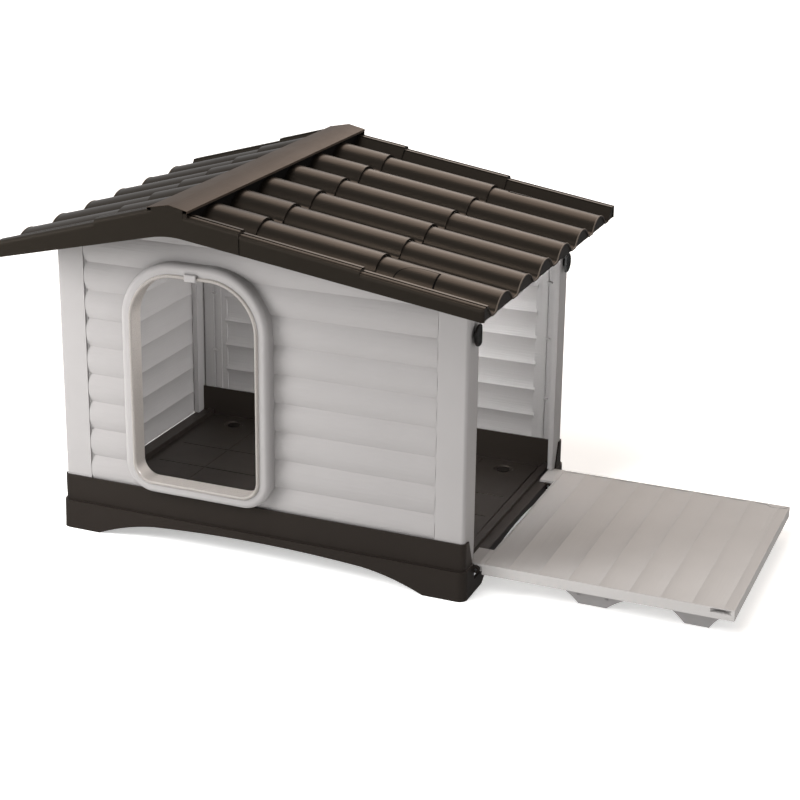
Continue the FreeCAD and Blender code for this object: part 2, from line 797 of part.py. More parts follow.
def make_post():
    """Front right corner post: an L-shaped upright that grips the edge of the wall."""
    x1 = wall_half_x
    y0 = -wall_half_y
    side_y = y0 + post_side_width
    inner_y0 = y0 + margin_depth + margin_thickness + fit_gap
    inner_y1 = inner_y0 + post_wall
    web_x = margin_reach + fit_gap
    top = ridge_z
    low = board_seat_z
    front_leg = box(x1 - post_front_width, x1, y0, y0 + post_wall, low, top)
    side_leg = box(x1 - post_wall, x1, y0, side_y, low, top)
    lip = box(x1 - post_lip, x1, side_y - post_wall, side_y, low, top)
    inner_leg = box(post_inner_reach, web_x + post_wall, inner_y0, inner_y1, low, top)
    web = box(web_x, web_x + post_wall, y0, inner_y1, low, top)
    ear_room_y = -panel_half_y - lug_gap
    foot = box(x1 - post_wall, x1, -inner_upstand_y + fit_gap, ear_room_y, sill_strip_z + fit_gap, low + 1)
    post = front_leg.fuse([side_leg, lip, inner_leg, web, foot])
    rounding = box(x1 - post_corner_radius, x1 + 1, y0 - 1, y0 + post_corner_radius, 0, big)
    rounding = rounding.cut(rod(Vector(x1 - post_corner_radius, y0 + post_corner_radius, 0),
                                Vector(0, 0, 1), post_corner_radius, big))
    ear_room = box(x1 - 2 * post_lip, x1 + 1, ear_room_y, side_y + 1, 0, deck_top_z + lug_gap)
    post = post.cut([rounding, ear_room])
    inner_round = post_corner_radius - post_wall
    fill = box(x1 - post_corner_radius, x1 - post_wall + touch, y0 + post_wall - touch,
               y0 + post_corner_radius, low, top)
    fill = fill.cut(rod(Vector(x1 - post_corner_radius, y0 + post_corner_radius, 0),
                        Vector(0, 0, 1), inner_round, big))
    post = post.fuse(fill)
    groove = box(post_groove_x, post_groove_x + post_groove_width, inner_y1 - post_groove_depth,
                 inner_y1 + 1, upstand_top_z, header_bottom_z)
    post = post.cut(groove)
    for height in post_clip_heights:
        clip = box(post_groove_x - post_clip_lap, post_groove_x - post_clip_lap + post_clip_length,
                   inner_y1 - post_groove_depth, inner_y1 + post_clip_size, height, height + post_wall)
        post = post.fuse(clip)
    return post.common(gable_room())


def place_post(post, to_left, to_back):
    """The post at one of the four corners, by mirroring."""
    placed = post
    if to_left:
        placed = placed.mirror(Vector(0, 0, 0), Vector(1, 0, 0))
    if to_back:
        placed = placed.mirror(Vector(0, 0, 0), Vector(0, 1, 0))
    return placed


def make_header():
    """Rail between two posts above the side opening, with a lap behind the posts."""
    x1 = wall_half_x
    half = wall_half_y - post_side_width - fit_gap
    plate = box(x1 - post_wall, x1, -half, half, header_bottom_z, ridge_z)
    lap_half = half - post_wall - 2 * fit_gap
    back = box(x1 - post_lip, x1 - post_wall, -lap_half, lap_half, header_bottom_z,
               header_bottom_z + post_wall)
    upper = box(x1 - post_lip, x1 - post_wall, -lap_half, lap_half,
                header_bottom_z + header_lap, header_bottom_z + header_lap + post_wall)
    return plate.fuse([back, upper]).common(gable_room())


# Base tray


def arch_cutter(point_at, half, along):
    """The space under a curved lower edge, pulled through the skirt.

    The edge is three arcs: a steep bend above either foot and a wide crown between them.
    """
    foot = (half, 0)
    bend = (half * arch_bend_share, arch_crown_z * arch_bend_rise)
    shoulder = (half * arch_shoulder_share, arch_crown_z * arch_shoulder_rise)
    edges = [
        arc(point_at(-foot[0], 0), point_at(-bend[0], bend[1]), point_at(-shoulder[0], shoulder[1])),
        arc(point_at(-shoulder[0], shoulder[1]), point_at(0, arch_crown_z), point_at(*shoulder)),
        arc(point_at(*shoulder), point_at(*bend), point_at(*foot)),
        line(point_at(*foot), point_at(foot[0], -arch_crown_z)),
        line(point_at(foot[0], -arch_crown_z), point_at(-foot[0], -arch_crown_z)),
        line(point_at(-foot[0], -arch_crown_z), point_at(-foot[0], 0)),
    ]
    return Part.Face(Part.Wire(edges)).extrude(along)


def skirt_arches():
    """Arched lower edges between the corner feet, front and back and on both sides."""
    depth = past + skirt_wall + foot_pad_width
    cuts = []
    for sign in (-1, 1):
        y = sign * (skirt_half_y + past)
        cuts.append(arch_cutter(lambda u, z: Vector(u, y, z), front_foot_x, Vector(0, -sign * depth, 0)))
        x = sign * (skirt_half_x + past)
        cuts.append(arch_cutter(lambda u, z: Vector(x, u, z), side_foot_y, Vector(-sign * depth, 0, 0)))
    return cuts


def under_ribs():
    """Stiffening ribs under the floor."""
    top = floor_z - floor_thickness + 1
    ribs = []
    inner_x = skirt_half_x - skirt_wall
    inner_y = skirt_half_y - skirt_wall
    count_x = int(inner_x // rib_spacing)
    for index in range(-count_x, count_x + 1):
        x = index * rib_spacing
        ribs.append(box(x - rib_wall / 2, x + rib_wall / 2, -inner_y, inner_y, rib_bottom_z, top))
    count_y = int(inner_y // rib_spacing)
    for index in range(-count_y, count_y + 1):
        y = index * rib_spacing
        ribs.append(box(-inner_x, inner_x, y - rib_wall / 2, y + rib_wall / 2, rib_bottom_z, top))
    return ribs


def floor_details():
    """Grooves that divide the floor into fields, and the dished drain holes."""
    half_x = gutter_x - floor_groove_end
    half_y = inner_upstand_y - floor_groove_end
    depth = floor_z - floor_groove_depth
    width = floor_groove_width / 2
    cuts = [box(-half_x, half_x, y - width, y + width, depth, floor_z + 1) for y in floor_groove_rows]
    for x in (-floor_groove_column, floor_groove_column):
        cuts.append(box(x - width, x + width, -half_y, half_y, depth, floor_z + 1))
    for x in (-drain_x, drain_x):
        for y in (-drain_y, drain_y):
            cuts.append(Part.makeCone(drain_dish_radius - drain_dish_depth, drain_dish_radius,
                                      drain_dish_depth, Vector(x, y, floor_z - drain_dish_depth)))
            cuts.append(rod(Vector(x, y, 0), Vector(0, 0, 1), drain_hole_radius, floor_z))
    return cuts


def hinge_lug(y0, y1):
    """A lug on the skirt that carries one end of a hinge pin."""
    root_x = skirt_half_x - skirt_wall
    block = box(root_x, hinge_x, y0, y1, hinge_z - knuckle_radius, hinge_z + knuckle_radius)
    nose = rod(Vector(hinge_x, y0, hinge_z), Vector(0, 1, 0), knuckle_radius, y1 - y0)
    hole = rod(Vector(hinge_x, y0, hinge_z), Vector(0, 1, 0), hinge_pin_radius + pin_fit, y1 - y0)
    return block.fuse(nose).cut(hole)


def hinge_ranges():
    """Y ranges of the ear pocket and of the two lugs beside it, on the back half."""
    pocket = (ear_inner_y - lug_gap, panel_half_y + lug_gap)
    inner_lug = (pocket[0] - lug_thickness, pocket[0])
    outer_lug = (pocket[1], pocket[1] + lug_thickness)
    return pocket, inner_lug, outer_lug


def make_base():
    """Base tray: skirt with four feet, floor, upstands with wall channels, and side sills."""
    bottom = rounded_rectangle(skirt_half_x, skirt_half_y, skirt_corner, 0)
    ledge = rounded_rectangle(skirt_half_x - skirt_draft, skirt_half_y - skirt_draft, skirt_corner, ledge_z)
    skirt = Part.makeLoft([bottom, ledge], True, True)
    upstand_line = rounded_rectangle(upstand_half_x, upstand_half_y, upstand_corner, ledge_z - 1)
    upstand = Part.Face(upstand_line).extrude(Vector(0, 0, upstand_top_z - ledge_z + 1))
    body = skirt.fuse(upstand)

    inner_x = skirt_half_x - skirt_draft - skirt_wall
    inner_y = skirt_half_y - skirt_draft - skirt_wall
    under_line = rounded_rectangle(inner_x, inner_y, skirt_corner - skirt_wall, -1)
    under = Part.Face(under_line).extrude(Vector(0, 0, floor_z - floor_thickness + 1))
    body = body.cut(under)

    room_x = upstand_half_x - upstand_wall
    body = body.cut(box(-room_x, room_x, -inner_upstand_y, inner_upstand_y, floor_z, big))
    channel_y = inner_upstand_y + inner_upstand_wall
    channel_line = rounded_rectangle(room_x, upstand_half_y - upstand_wall,
                                     upstand_corner - upstand_wall, ledge_z)
    channel = Part.Face(channel_line).extrude(Vector(0, 0, big))
    channel = channel.cut(box(-big, big, -channel_y, channel_y, 0, 2 * big))
    body = body.cut(channel)

    slant = [Vector(0, -slant_bottom_y, sill_strip_z), Vector(0, slant_bottom_y, sill_strip_z),
             Vector(0, slant_bottom_y, ledge_z), Vector(0, slant_top_y, upstand_top_z + 1),
             Vector(0, -slant_top_y, upstand_top_z + 1), Vector(0, -slant_bottom_y, ledge_z)]
    strip_x = sill_ridge_x + sill_ridge_width
    for side in (-1, 1):
        opening = polygon_prism(slant, Vector(side * big, 0, 0))
        opening.translate(Vector(side * strip_x, 0, 0))
        body = body.cut(opening)
    pieces = []
    for side in (-1, 1):
        x0, x1 = sorted((side * strip_x, side * room_x))
        pieces.append(box(x0, x1, -inner_upstand_y, inner_upstand_y, floor_z - 1, sill_strip_z))
        x0, x1 = sorted((side * sill_ridge_x, side * strip_x))
        pieces.append(box(x0, x1, -inner_upstand_y, inner_upstand_y, floor_z - 1, sill_ridge_z))
    for side_x in (-1, 1):
        for side_y in (-1, 1):
            x0, x1 = sorted((side_x * front_foot_x, side_x * skirt_half_x))
            y0, y1 = sorted((side_y * (skirt_half_y - foot_pad_width), side_y * skirt_half_y))
            pieces.append(box(x0, x1, y0, y1, 0, foot_pad_height).common(skirt))
            x0, x1 = sorted((side_x * (skirt_half_x - foot_pad_width), side_x * skirt_half_x))
            y0, y1 = sorted((side_y * side_foot_y, side_y * skirt_half_y))
            pieces.append(box(x0, x1, y0, y1, 0, foot_pad_height).common(skirt))
    body = body.fuse(pieces + under_ribs())
    for side in (-1, 1):
        x0, x1 = sorted((side * gutter_x, side * sill_ridge_x))
        body = body.cut(box(x0, x1, -inner_upstand_y, inner_upstand_y, floor_z - gutter_depth, floor_z + 1))
    body = body.cut(skirt_arches() + floor_details())

    for side_x in (-1, 1):
        x0, x1 = sorted((side_x * (wall_half_x - post_wall - fit_gap), side_x * room_x))
        body = body.cut(both_sides(lambda: box(x0, x1, -channel_y - 1, -inner_upstand_y + 1, ledge_z, big)))

    pocket, inner_lug, outer_lug = hinge_ranges()
    reach = math.hypot(ear_reach, deck_top_z - hinge_z) + pocket_clearance
    swing = rod(Vector(hinge_x, pocket[0], hinge_z), Vector(0, 1, 0), reach, pocket[1] - pocket[0])
    swing = swing.common(box(0, big, -big, big, 0, deck_top_z + lug_gap))
    lugs = hinge_lug(*inner_lug).fuse(hinge_lug(*outer_lug))
    mirror_plane = (Vector(0, 0, 0), Vector(0, 1, 0))
    body = body.cut([swing, swing.mirror(*mirror_plane)])
    return body.fuse([lugs, lugs.mirror(*mirror_plane)])


def make_drain_plugs():
    """Press-in plugs in the four drain dishes."""
    plugs = None
    seat = floor_z - drain_dish_depth
    for x in (-drain_x, drain_x):
        for y in (-drain_y, drain_y):
            flange = rod(Vector(x, y, seat), Vector(0, 0, 1), plug_flange_radius, plug_flange_height)
            stem = rod(Vector(x, y, seat - floor_thickness), Vector(0, 0, 1),
                       drain_hole_radius - fit_gap, floor_thickness)
            plug = flange.fuse(stem)
            plugs = plug if plugs is None else plugs.fuse(plug)
    return plugs


def make_hinge_pins():
    """Two pins that carry the ears of the side panel between the lugs of the base."""
    inner_lug, outer_lug = hinge_ranges()[1:]
    length = outer_lug[1] - inner_lug[0]
    pin = rod(Vector(hinge_x, inner_lug[0], hinge_z), Vector(0, 1, 0), hinge_pin_radius, length)
    return pin.fuse(pin.mirror(Vector(0, 0, 0), Vector(0, 1, 0)))


# Side panels, drawn upright on the right-hand side


def boards_upright(face_x, bulge, back_x, half_y):
    """A sheet of lap boards standing in the YZ plane: bowed on one face, flat on the other."""
    z0 = panel_bottom_z
    z1 = panel_top_z
    first = hinge_z + panel_first_crease
    count_below = math.ceil((first - z0) / panel_board_pitch)
    start = first - count_below * panel_board_pitch
    count = math.ceil((z1 - start) / panel_board_pitch)
    edges = []
    y = -half_y
    for index in range(count):
        low = start + index * panel_board_pitch
        high = low + panel_board_pitch
        middle = (low + high) / 2
        edges.append(arc(Vector(face_x, y, low), Vector(face_x + bulge, y, middle), Vector(face_x, y, high)))
    top = start + count * panel_board_pitch
    edges.append(line(Vector(face_x, y, top), Vector(back_x, y, top)))
    edges.append(line(Vector(back_x, y, top), Vector(back_x, y, start)))
    edges.append(line(Vector(back_x, y, start), Vector(face_x, y, start)))
    face = Part.Face(Part.Wire(edges))
    return face.extrude(Vector(0, 2 * half_y, 0)).common(box(0, big, -half_y, half_y, z0, z1))


def make_panel_tray(has_hinge):
    """Inner moulding of a side panel: ribbed skin with a deep rim, upright in its closed place.

    The skin is hollowed a little between the creases, as the back of a boarded sheet is. The
    hinged panel has two ears with knuckles at its foot and two keepers for the turn buttons.
    """
    x0 = panel_inner_x
    x1 = panel_outer_x
    skin = boards_upright(x0, panel_inner_sag, x0 + panel_skin + panel_inner_sag, panel_half_y)
    rim = box(x0, x1, -panel_half_y, panel_half_y, panel_bottom_z, panel_top_z)
    rim = rim.cut(box(x0 - 1, x1 + 1, -panel_half_y + panel_rim, panel_half_y - panel_rim,
                      panel_bottom_z + panel_rim, panel_top_z - panel_rim))
    tray = rim.fuse(skin)
    if not has_hinge:
        boss_y = panel_half_y - panel_boss_inset
        for side in (-1, 1):
            for height in left_screw_heights:
                boss = box(x0, x0 + panel_boss_depth, side * boss_y - panel_boss_radius,
                           side * boss_y + panel_boss_radius, height - panel_boss_radius,
                           height + panel_boss_radius)
                tray = tray.fuse(boss)
                tray = tray.cut(rod(Vector(x0 - 1, side * boss_y, height), Vector(1, 0, 0),
                                    roof_screw_radius + screw_hole_gap, panel_boss_depth))
        return tray
    ears = None
    for side in (-1, 1):
        y0, y1 = sorted((side * ear_inner_y, side * panel_half_y))
        plate = box(x0, x0 + ear_thickness, y0, y1, hinge_z - ear_reach, panel_bottom_z + panel_rim)
        y0, y1 = sorted((side * knuckle_inner_y, side * knuckle_outer_y))
        knuckle = rod(Vector(hinge_x, y0, hinge_z), Vector(0, 1, 0), knuckle_radius, y1 - y0)
        arm = box(x0 + ear_thickness - 1, hinge_x, y0, y1, hinge_z - knuckle_radius,
                  hinge_z + knuckle_radius)
        link = box(hinge_x - knuckle_radius, hinge_x + knuckle_radius, y0, y1, hinge_z,
                   panel_bottom_z + panel_rim)
        bore = rod(Vector(hinge_x, y0 - 1, hinge_z), Vector(0, 1, 0), hinge_pin_radius + running_gap,
                   y1 - y0 + 2)
        ear = plate.fuse([knuckle, arm, link]).cut(bore)
        ears = ear if ears is None else ears.fuse(ear)
    tray = tray.fuse(ears)
    lip_x = x0 + keeper_lip
    slot_end = wall_half_x + latch_stand + latch_disc + keeper_room
    along = Vector(1, 0, 0)
    for side in (-1, 1):
        block = rod(Vector(x0, side * latch_y, latch_z), along, keeper_radius + panel_rim,
                    slot_end + panel_skin - x0)
        block = block.common(box(0, big, -panel_half_y, panel_half_y, panel_bottom_z, panel_top_z))
        slot = rod(Vector(lip_x, side * latch_y, latch_z), along, keeper_radius, slot_end - lip_x)
        tray = tray.fuse(block).cut(slot)
    return tray


def trough_ranges():
    """Y, X and Z extents of the trough for a folded leg, on the back half, panel upright."""
    y0 = leg_y - leg_pivot_z - trough_side_room
    y1 = leg_y + leg_thickness / 2 + trough_side_room
    floor_x = panel_outer_x - leg_pivot_inset - leg_thickness / 2 - trough_floor_room
    z0 = hinge_z + leg_start_x - trough_end_room - hinge_x
    z1 = hinge_z + leg_end_x + trough_end_room - hinge_x
    return y0, y1, floor_x, z0, z1


def make_panel_boards(has_troughs):
    """Outer skin of a side panel: lap boards that fill the tray, with troughs for the legs."""
    half = panel_half_y - panel_rim - fit_gap
    crease = panel_outer_x - panel_board_bulge
    boards = boards_upright(crease, panel_board_bulge, crease - panel_skin, half)
    z0 = panel_bottom_z + panel_rim + fit_gap
    z1 = panel_top_z - panel_rim - fit_gap
    boards = boards.common(box(0, big, -half, half, z0, z1))
    frame_width = 2 * panel_skin
    depth = panel_skin + panel_board_bulge
    frame = box(panel_outer_x - depth, panel_outer_x - panel_frame_setback, -half, half, z0, z1)
    frame = frame.cut(box(0, big, -half + frame_width / 2, half - frame_width / 2,
                          z0 + frame_width / 2, z1 - frame_width / 2))
    boards = boards.fuse(frame)
    if has_troughs:
        y0, y1, floor_x, t0, t1 = trough_ranges()
        wall = trough_wall
        for side in (-1, 1):
            a, b = sorted((side * y0, side * y1))
            trough = box(floor_x - wall, panel_outer_x - panel_board_bulge / 2, a - wall, b + wall,
                         t0 - wall, t1 + wall)
            hollow = box(floor_x, big, a, b, t0, t1)
            boards = boards.fuse(trough).cut(hollow)
            pivot_x = panel_outer_x - leg_pivot_inset
            bore = rod(Vector(pivot_x, side * leg_y, t0 - wall - 1), Vector(0, 0, 1),
                       leg_pin_radius + pin_fit, t1 - t0 + 2 * wall + 2)
            boards = boards.cut(bore)
    if has_troughs:
        block_end = wall_half_x + latch_stand + latch_disc + keeper_room + panel_skin
        for side in (-1, 1):
            boards = boards.cut(rod(Vector(0, side * latch_y, latch_z), Vector(1, 0, 0),
                                    keeper_radius + panel_rim + fit_gap, block_end + fit_gap))
    else:
        boss_y = panel_half_y - panel_boss_inset
        for side in (-1, 1):
            for height in left_screw_heights:
                reach = panel_boss_radius + fit_gap
                boards = boards.cut(box(0, panel_inner_x + panel_boss_depth + fit_gap,
                                        side * boss_y - reach, side * boss_y + reach,
                                        height - reach, height + reach))
    return boards


def folded_down(shape):
    """A piece of the side panel turned from its closed place about the hinge, to lie flat."""
    turned = shape.copy()
    turned.rotate(Vector(hinge_x, 0, hinge_z), Vector(0, 1, 0), 90)
    return turned


def make_left_screws():
    """Screws from the left posts into the fixed left panel."""
    screws = None
    boss_y = panel_half_y - panel_boss_inset
    start = wall_half_x - post_wall
    for side in (-1, 1):
        for height in left_screw_heights:
            place = Vector(start - screw_head_gap, side * boss_y, height)
            screw = hex_screw(place, Vector(-1, 0, 0), panel_screw_head_radius, roof_screw_radius,
                              panel_boss_depth)
            screws = screw if screws is None else screws.fuse(screw)
    return screws


# Folding legs


def flare(foot_x, end_x, end_z, y):
    """The bent edge of a foot, from its sole up into an arch."""
    bend = Vector(foot_x + (end_x - foot_x) * leg_flare_share, y, end_z * leg_flare_rise)
    return arc(Vector(foot_x, y, 0), bend, Vector(end_x, y, end_z))


def make_leg():
    """Front leg plate with two feet, standing under the porch."""
    top_z = leg_pivot_z + leg_thickness / 2
    y = -leg_y - leg_thickness / 2
    edges = [
        line(Vector(leg_start_x, y, leg_arch_z), Vector(leg_start_x, y, top_z)),
        line(Vector(leg_start_x, y, top_z), Vector(leg_end_x, y, top_z)),
        line(Vector(leg_end_x, y, top_z), Vector(leg_end_x, y, leg_arch_z)),
        flare(foot_two_end_x, leg_end_x, leg_arch_z, y),
        line(Vector(foot_two_end_x, y, 0), Vector(foot_two_start_x, y, 0)),
        flare(foot_two_start_x, leg_middle_end_x, leg_middle_z, y),
        line(Vector(leg_middle_end_x, y, leg_middle_z), Vector(leg_middle_start_x, y, leg_middle_z)),
        flare(foot_one_end_x, leg_middle_start_x, leg_middle_z, y),
        line(Vector(foot_one_end_x, y, 0), Vector(foot_one_start_x, y, 0)),
        flare(foot_one_start_x, leg_start_x, leg_arch_z, y),
    ]
    plate = Part.Face(Part.Wire(Part.__sortEdges__(edges))).extrude(Vector(0, leg_thickness, 0))
    sharp = box(leg_start_x - 1, leg_end_x + 1, y - 1, y + leg_thickness + 1, leg_pivot_z, top_z + 1)
    sharp = sharp.cut(rod(Vector(leg_start_x - past, -leg_y, leg_pivot_z), Vector(1, 0, 0),
                          leg_thickness / 2, leg_end_x - leg_start_x + 2 * past))
    plate = plate.cut(sharp)
    marks = []
    for x in (foot_one_start_x, foot_one_end_x):
        for step in (-leg_mark_width, leg_mark_width):
            marks.append(box(x + step - leg_mark_width / 2, x + step + leg_mark_width / 2, y - 1,
                             y + leg_mark_depth, leg_arch_z / 2, leg_pivot_z))
    plate = plate.cut(marks)
    for x, direction in ((leg_start_x, 1), (leg_end_x, -1)):
        bore = rod(Vector(x, -leg_y, leg_pivot_z), Vector(direction, 0, 0), leg_pin_radius + running_gap,
                   leg_pin_length - trough_wall)
        plate = plate.cut(bore)
    return plate


def make_leg_pins():
    """Stub pins at both ends of each leg, held in the ends of the troughs."""
    pins = None
    for side in (-1, 1):
        start = Vector(leg_start_x - trough_end_room - trough_wall, side * leg_y, leg_pivot_z)
        end = Vector(leg_end_x + trough_end_room + trough_wall, side * leg_y, leg_pivot_z)
        for place, direction in ((start, Vector(1, 0, 0)), (end, Vector(-1, 0, 0))):
            pin = rod(place, direction, leg_pin_radius, leg_pin_length)
            pins = pin if pins is None else pins.fuse(pin)
    return pins


# Turn buttons


def make_latch():
    """Front turn button: a round disc with a bevelled rim, on a hub.

    A flat on the disc lets the panel pass. Half a turn brings the full side of the disc
    over the lip of the panel's keeper.
    """
    x0 = wall_half_x + fit_gap
    back_x = wall_half_x + latch_stand
    front_x = back_x + latch_disc
    centre = (-latch_y, latch_z)
    axis = Vector(1, 0, 0)
    disc = rod(Vector(back_x, *centre), axis, latch_radius, latch_disc - latch_edge)
    bevel = Part.makeCone(latch_radius, latch_radius - latch_edge, latch_edge,
                          Vector(front_x - latch_edge, *centre), axis)
    hub = rod(Vector(x0, *centre), axis, latch_hub_radius, back_x - x0 + 1)
    button = disc.fuse([bevel, hub])
    flat_y = -latch_y + latch_flat
    button = button.cut(box(x0 - 1, front_x + 1, flat_y, flat_y + latch_radius, 0, big))
    bore = rod(Vector(x0 - 1, *centre), axis, latch_screw_radius + running_gap,
               back_x - x0 + latch_bore_depth)
    return button.cut(bore)


def make_latch_screws():
    """Screws through the posts that the turn buttons turn on."""
    screws = None
    inside_x = wall_half_x - post_wall
    back_x = wall_half_x + latch_stand
    for side in (-1, 1):
        place = Vector(inside_x - screw_head_gap, side * latch_y, latch_z)
        screw = hex_screw(place, Vector(-1, 0, 0), screw_head_radius, latch_screw_radius, back_x - inside_x)
        screws = screw if screws is None else screws.fuse(screw)
    return screws


def drilled(shape, points, direction, radius, length):
    """A piece with round holes."""
    holes = [rod(point, direction, radius, length) for point in points]
    return shape.cut(holes)


def save(name, shape):
    """Move a piece from the house's centre to the common origin and write it."""
    placed = shape.copy()
    placed.translate(Vector(frame_shift_x, 0, 0))
    solids = placed.Solids
    result = solids[0] if len(solids) == 1 else Part.makeCompound(solids)
    result.exportStep("parts/" + name + ".step")
    print(name, len(solids), round(result.Volume / 1000, 1), "cm3", result.isValid())


def main():
    """Build every piece of the kennel."""
    os.makedirs("parts", exist_ok=True)
    mirror_x = (Vector(0, 0, 0), Vector(1, 0, 0))
    mirror_y = (Vector(0, 0, 0), Vector(0, 1, 0))

    save("base", make_base())
    save("drain_plugs", make_drain_plugs())
    save("hinge_pins", make_hinge_pins())

    save("front_wall", make_front_wall())
    save("back_wall", board_wall().mirror(*mirror_y))
    save("door_guard", make_door_guard())
    save("guard_clip", make_guard_clip())

    post = make_post()
    latch_hole = Vector(wall_half_x - 2 * post_wall, -latch_y, latch_z)
    right_post = drilled(post, [latch_hole], Vector(1, 0, 0), latch_screw_radius + fit_gap, past)
    boss_y = panel_half_y - panel_boss_inset
    screw_holes = [Vector(wall_half_x - 2 * post_wall, -boss_y, height) for height in left_screw_heights]
    left_post = drilled(post, screw_holes, Vector(1, 0, 0), roof_screw_radius + fit_gap, past)
    save("post_front_right", right_post)
    save("post_back_right", place_post(right_post, False, True))
    save("post_front_left", place_post(left_post, True, False))
    save("post_back_left", place_post(left_post, True, True))
    header = make_header()
    save("header_right", header)
    save("header_left", header.mirror(*mirror_x))

    save("left_panel", make_panel_tray(False).mirror(*mirror_x))
    save("left_panel_boards", make_panel_boards(False).mirror(*mirror_x))
    save("left_panel_screws", make_left_screws().mirror(*mirror_x))

    save("side_panel", folded_down(make_panel_tray(True)))
    save("side_panel_boards", folded_down(make_panel_boards(True)))
    leg = make_leg()
    save("front_leg", leg)
    save("back_leg", leg.mirror(*mirror_y))
    save("leg_pins", make_leg_pins())

    latch = make_latch()
    save("front_latch", latch)
    save("back_latch", latch.mirror(*mirror_y))
    save("latch_screws", make_latch_screws())

    roof_left, roof_right, covers, screws = make_roof()
    save("roof_left", roof_left)
    save("roof_right", roof_right)
    save("roof_covers", covers)
    save("roof_screws", screws)


main()
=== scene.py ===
"""Finishes, fine pieces, light and camera for a plastic dog kennel with a fold-down side panel.

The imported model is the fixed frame: its mouldings keep their shape and get their finishes
here. The pieces whose look depends on fine curves, such as the roof's rolls, the metal guard
round the doorway and the turn buttons, are worked out here as surfaces and stand for their
plainer solids. Sizes are written in millimetres of the real kennel, with X from the middle of
the house, and turned to metres once.
"""

import logging
import math
from collections.abc import Mapping, Sequence
from dataclasses import dataclass, field
from enum import Enum

import bpy
import numpy as np
from mathutils import Matrix, Vector


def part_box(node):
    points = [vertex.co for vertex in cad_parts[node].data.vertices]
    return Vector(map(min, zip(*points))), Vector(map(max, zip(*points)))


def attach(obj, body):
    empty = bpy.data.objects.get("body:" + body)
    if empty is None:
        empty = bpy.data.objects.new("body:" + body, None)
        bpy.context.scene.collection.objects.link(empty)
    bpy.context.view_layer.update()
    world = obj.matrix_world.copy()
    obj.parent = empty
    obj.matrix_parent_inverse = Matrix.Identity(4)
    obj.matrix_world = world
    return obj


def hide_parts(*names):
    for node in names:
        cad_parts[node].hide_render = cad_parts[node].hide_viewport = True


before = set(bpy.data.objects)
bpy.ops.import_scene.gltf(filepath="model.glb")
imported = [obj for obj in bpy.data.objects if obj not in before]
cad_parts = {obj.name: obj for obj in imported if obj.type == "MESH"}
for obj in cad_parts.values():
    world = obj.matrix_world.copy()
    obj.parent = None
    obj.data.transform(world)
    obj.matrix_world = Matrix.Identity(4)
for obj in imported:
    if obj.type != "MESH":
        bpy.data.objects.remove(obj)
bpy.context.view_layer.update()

LOG = logging.getLogger("kennel")
MM = 0.001


def house_centre() -> float:
    """X of the middle of the house in the frame, in metres: the middle of its front wall."""
    low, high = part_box("front_wall")
    return (low.x + high.x) / 2


HOUSE_X = house_centre()


class Grain(Enum):
    """Direction in which the wood grain of a moulding runs."""

    NONE = "none"
    ALONG_X = "along_x"
    ALONG_Y = "along_y"


class Side(Enum):
    """The front of the kennel, towards the camera, or its back."""

    FRONT = -1
    BACK = 1


def linear(code: str) -> tuple[float, float, float, float]:
    """Turn an sRGB hex colour into linear light.

    Args:
        code: colour such as "#c8c4c0".

    Returns:
        Red, green, blue and an alpha of one.
    """
    values = np.array([int(code[start:start + 2], 16) for start in (1, 3, 5)]) / 255
    low = values / 12.92
    high = ((values + 0.055) / 1.055) ** 2.4
    red, green, blue = np.where(values <= 0.04045, low, high).tolist()
    return red, green, blue, 1.0


def add_node(tree: bpy.types.NodeTree, kind: str, values: Mapping[int | str, object] | None = None,
             links: Mapping[int | str, bpy.types.NodeSocket] | None = None,
             **settings: object) -> bpy.types.Node:
    """Add one node to a tree, with its settings, values and links.

    Args:
        tree: node tree that gets the node.
        kind: type name of the node.
        values: input sockets that get a fixed value.
        links: input sockets and the output sockets that feed them.
        **settings: properties of the node.

    Returns:
        The new node.
    """
    node = tree.nodes.new(kind)
    for name, value in settings.items():
        setattr(node, name, value)
    for name, value in (values or {}).items():
        node.inputs[name].default_value = value
    for name, source in (links or {}).items():
        tree.links.new(source, node.inputs[name])
    return node


def empty_material(name: str) -> tuple[bpy.types.Material, bpy.types.NodeTree]:
    """Make a material whose node tree holds nothing yet.

    Args:
        name: name of the finish.

    Returns:
        The material and its node tree.
    """
    material = bpy.data.materials.new(name)
    material.use_nodes = True
    tree = material.node_tree
    tree.nodes.clear()
    return material, tree


# Numbers of the sockets that a Mix node has for colours
MIX_FACTOR, MIX_A, MIX_B, MIX_RESULT = 0, 6, 7, 2


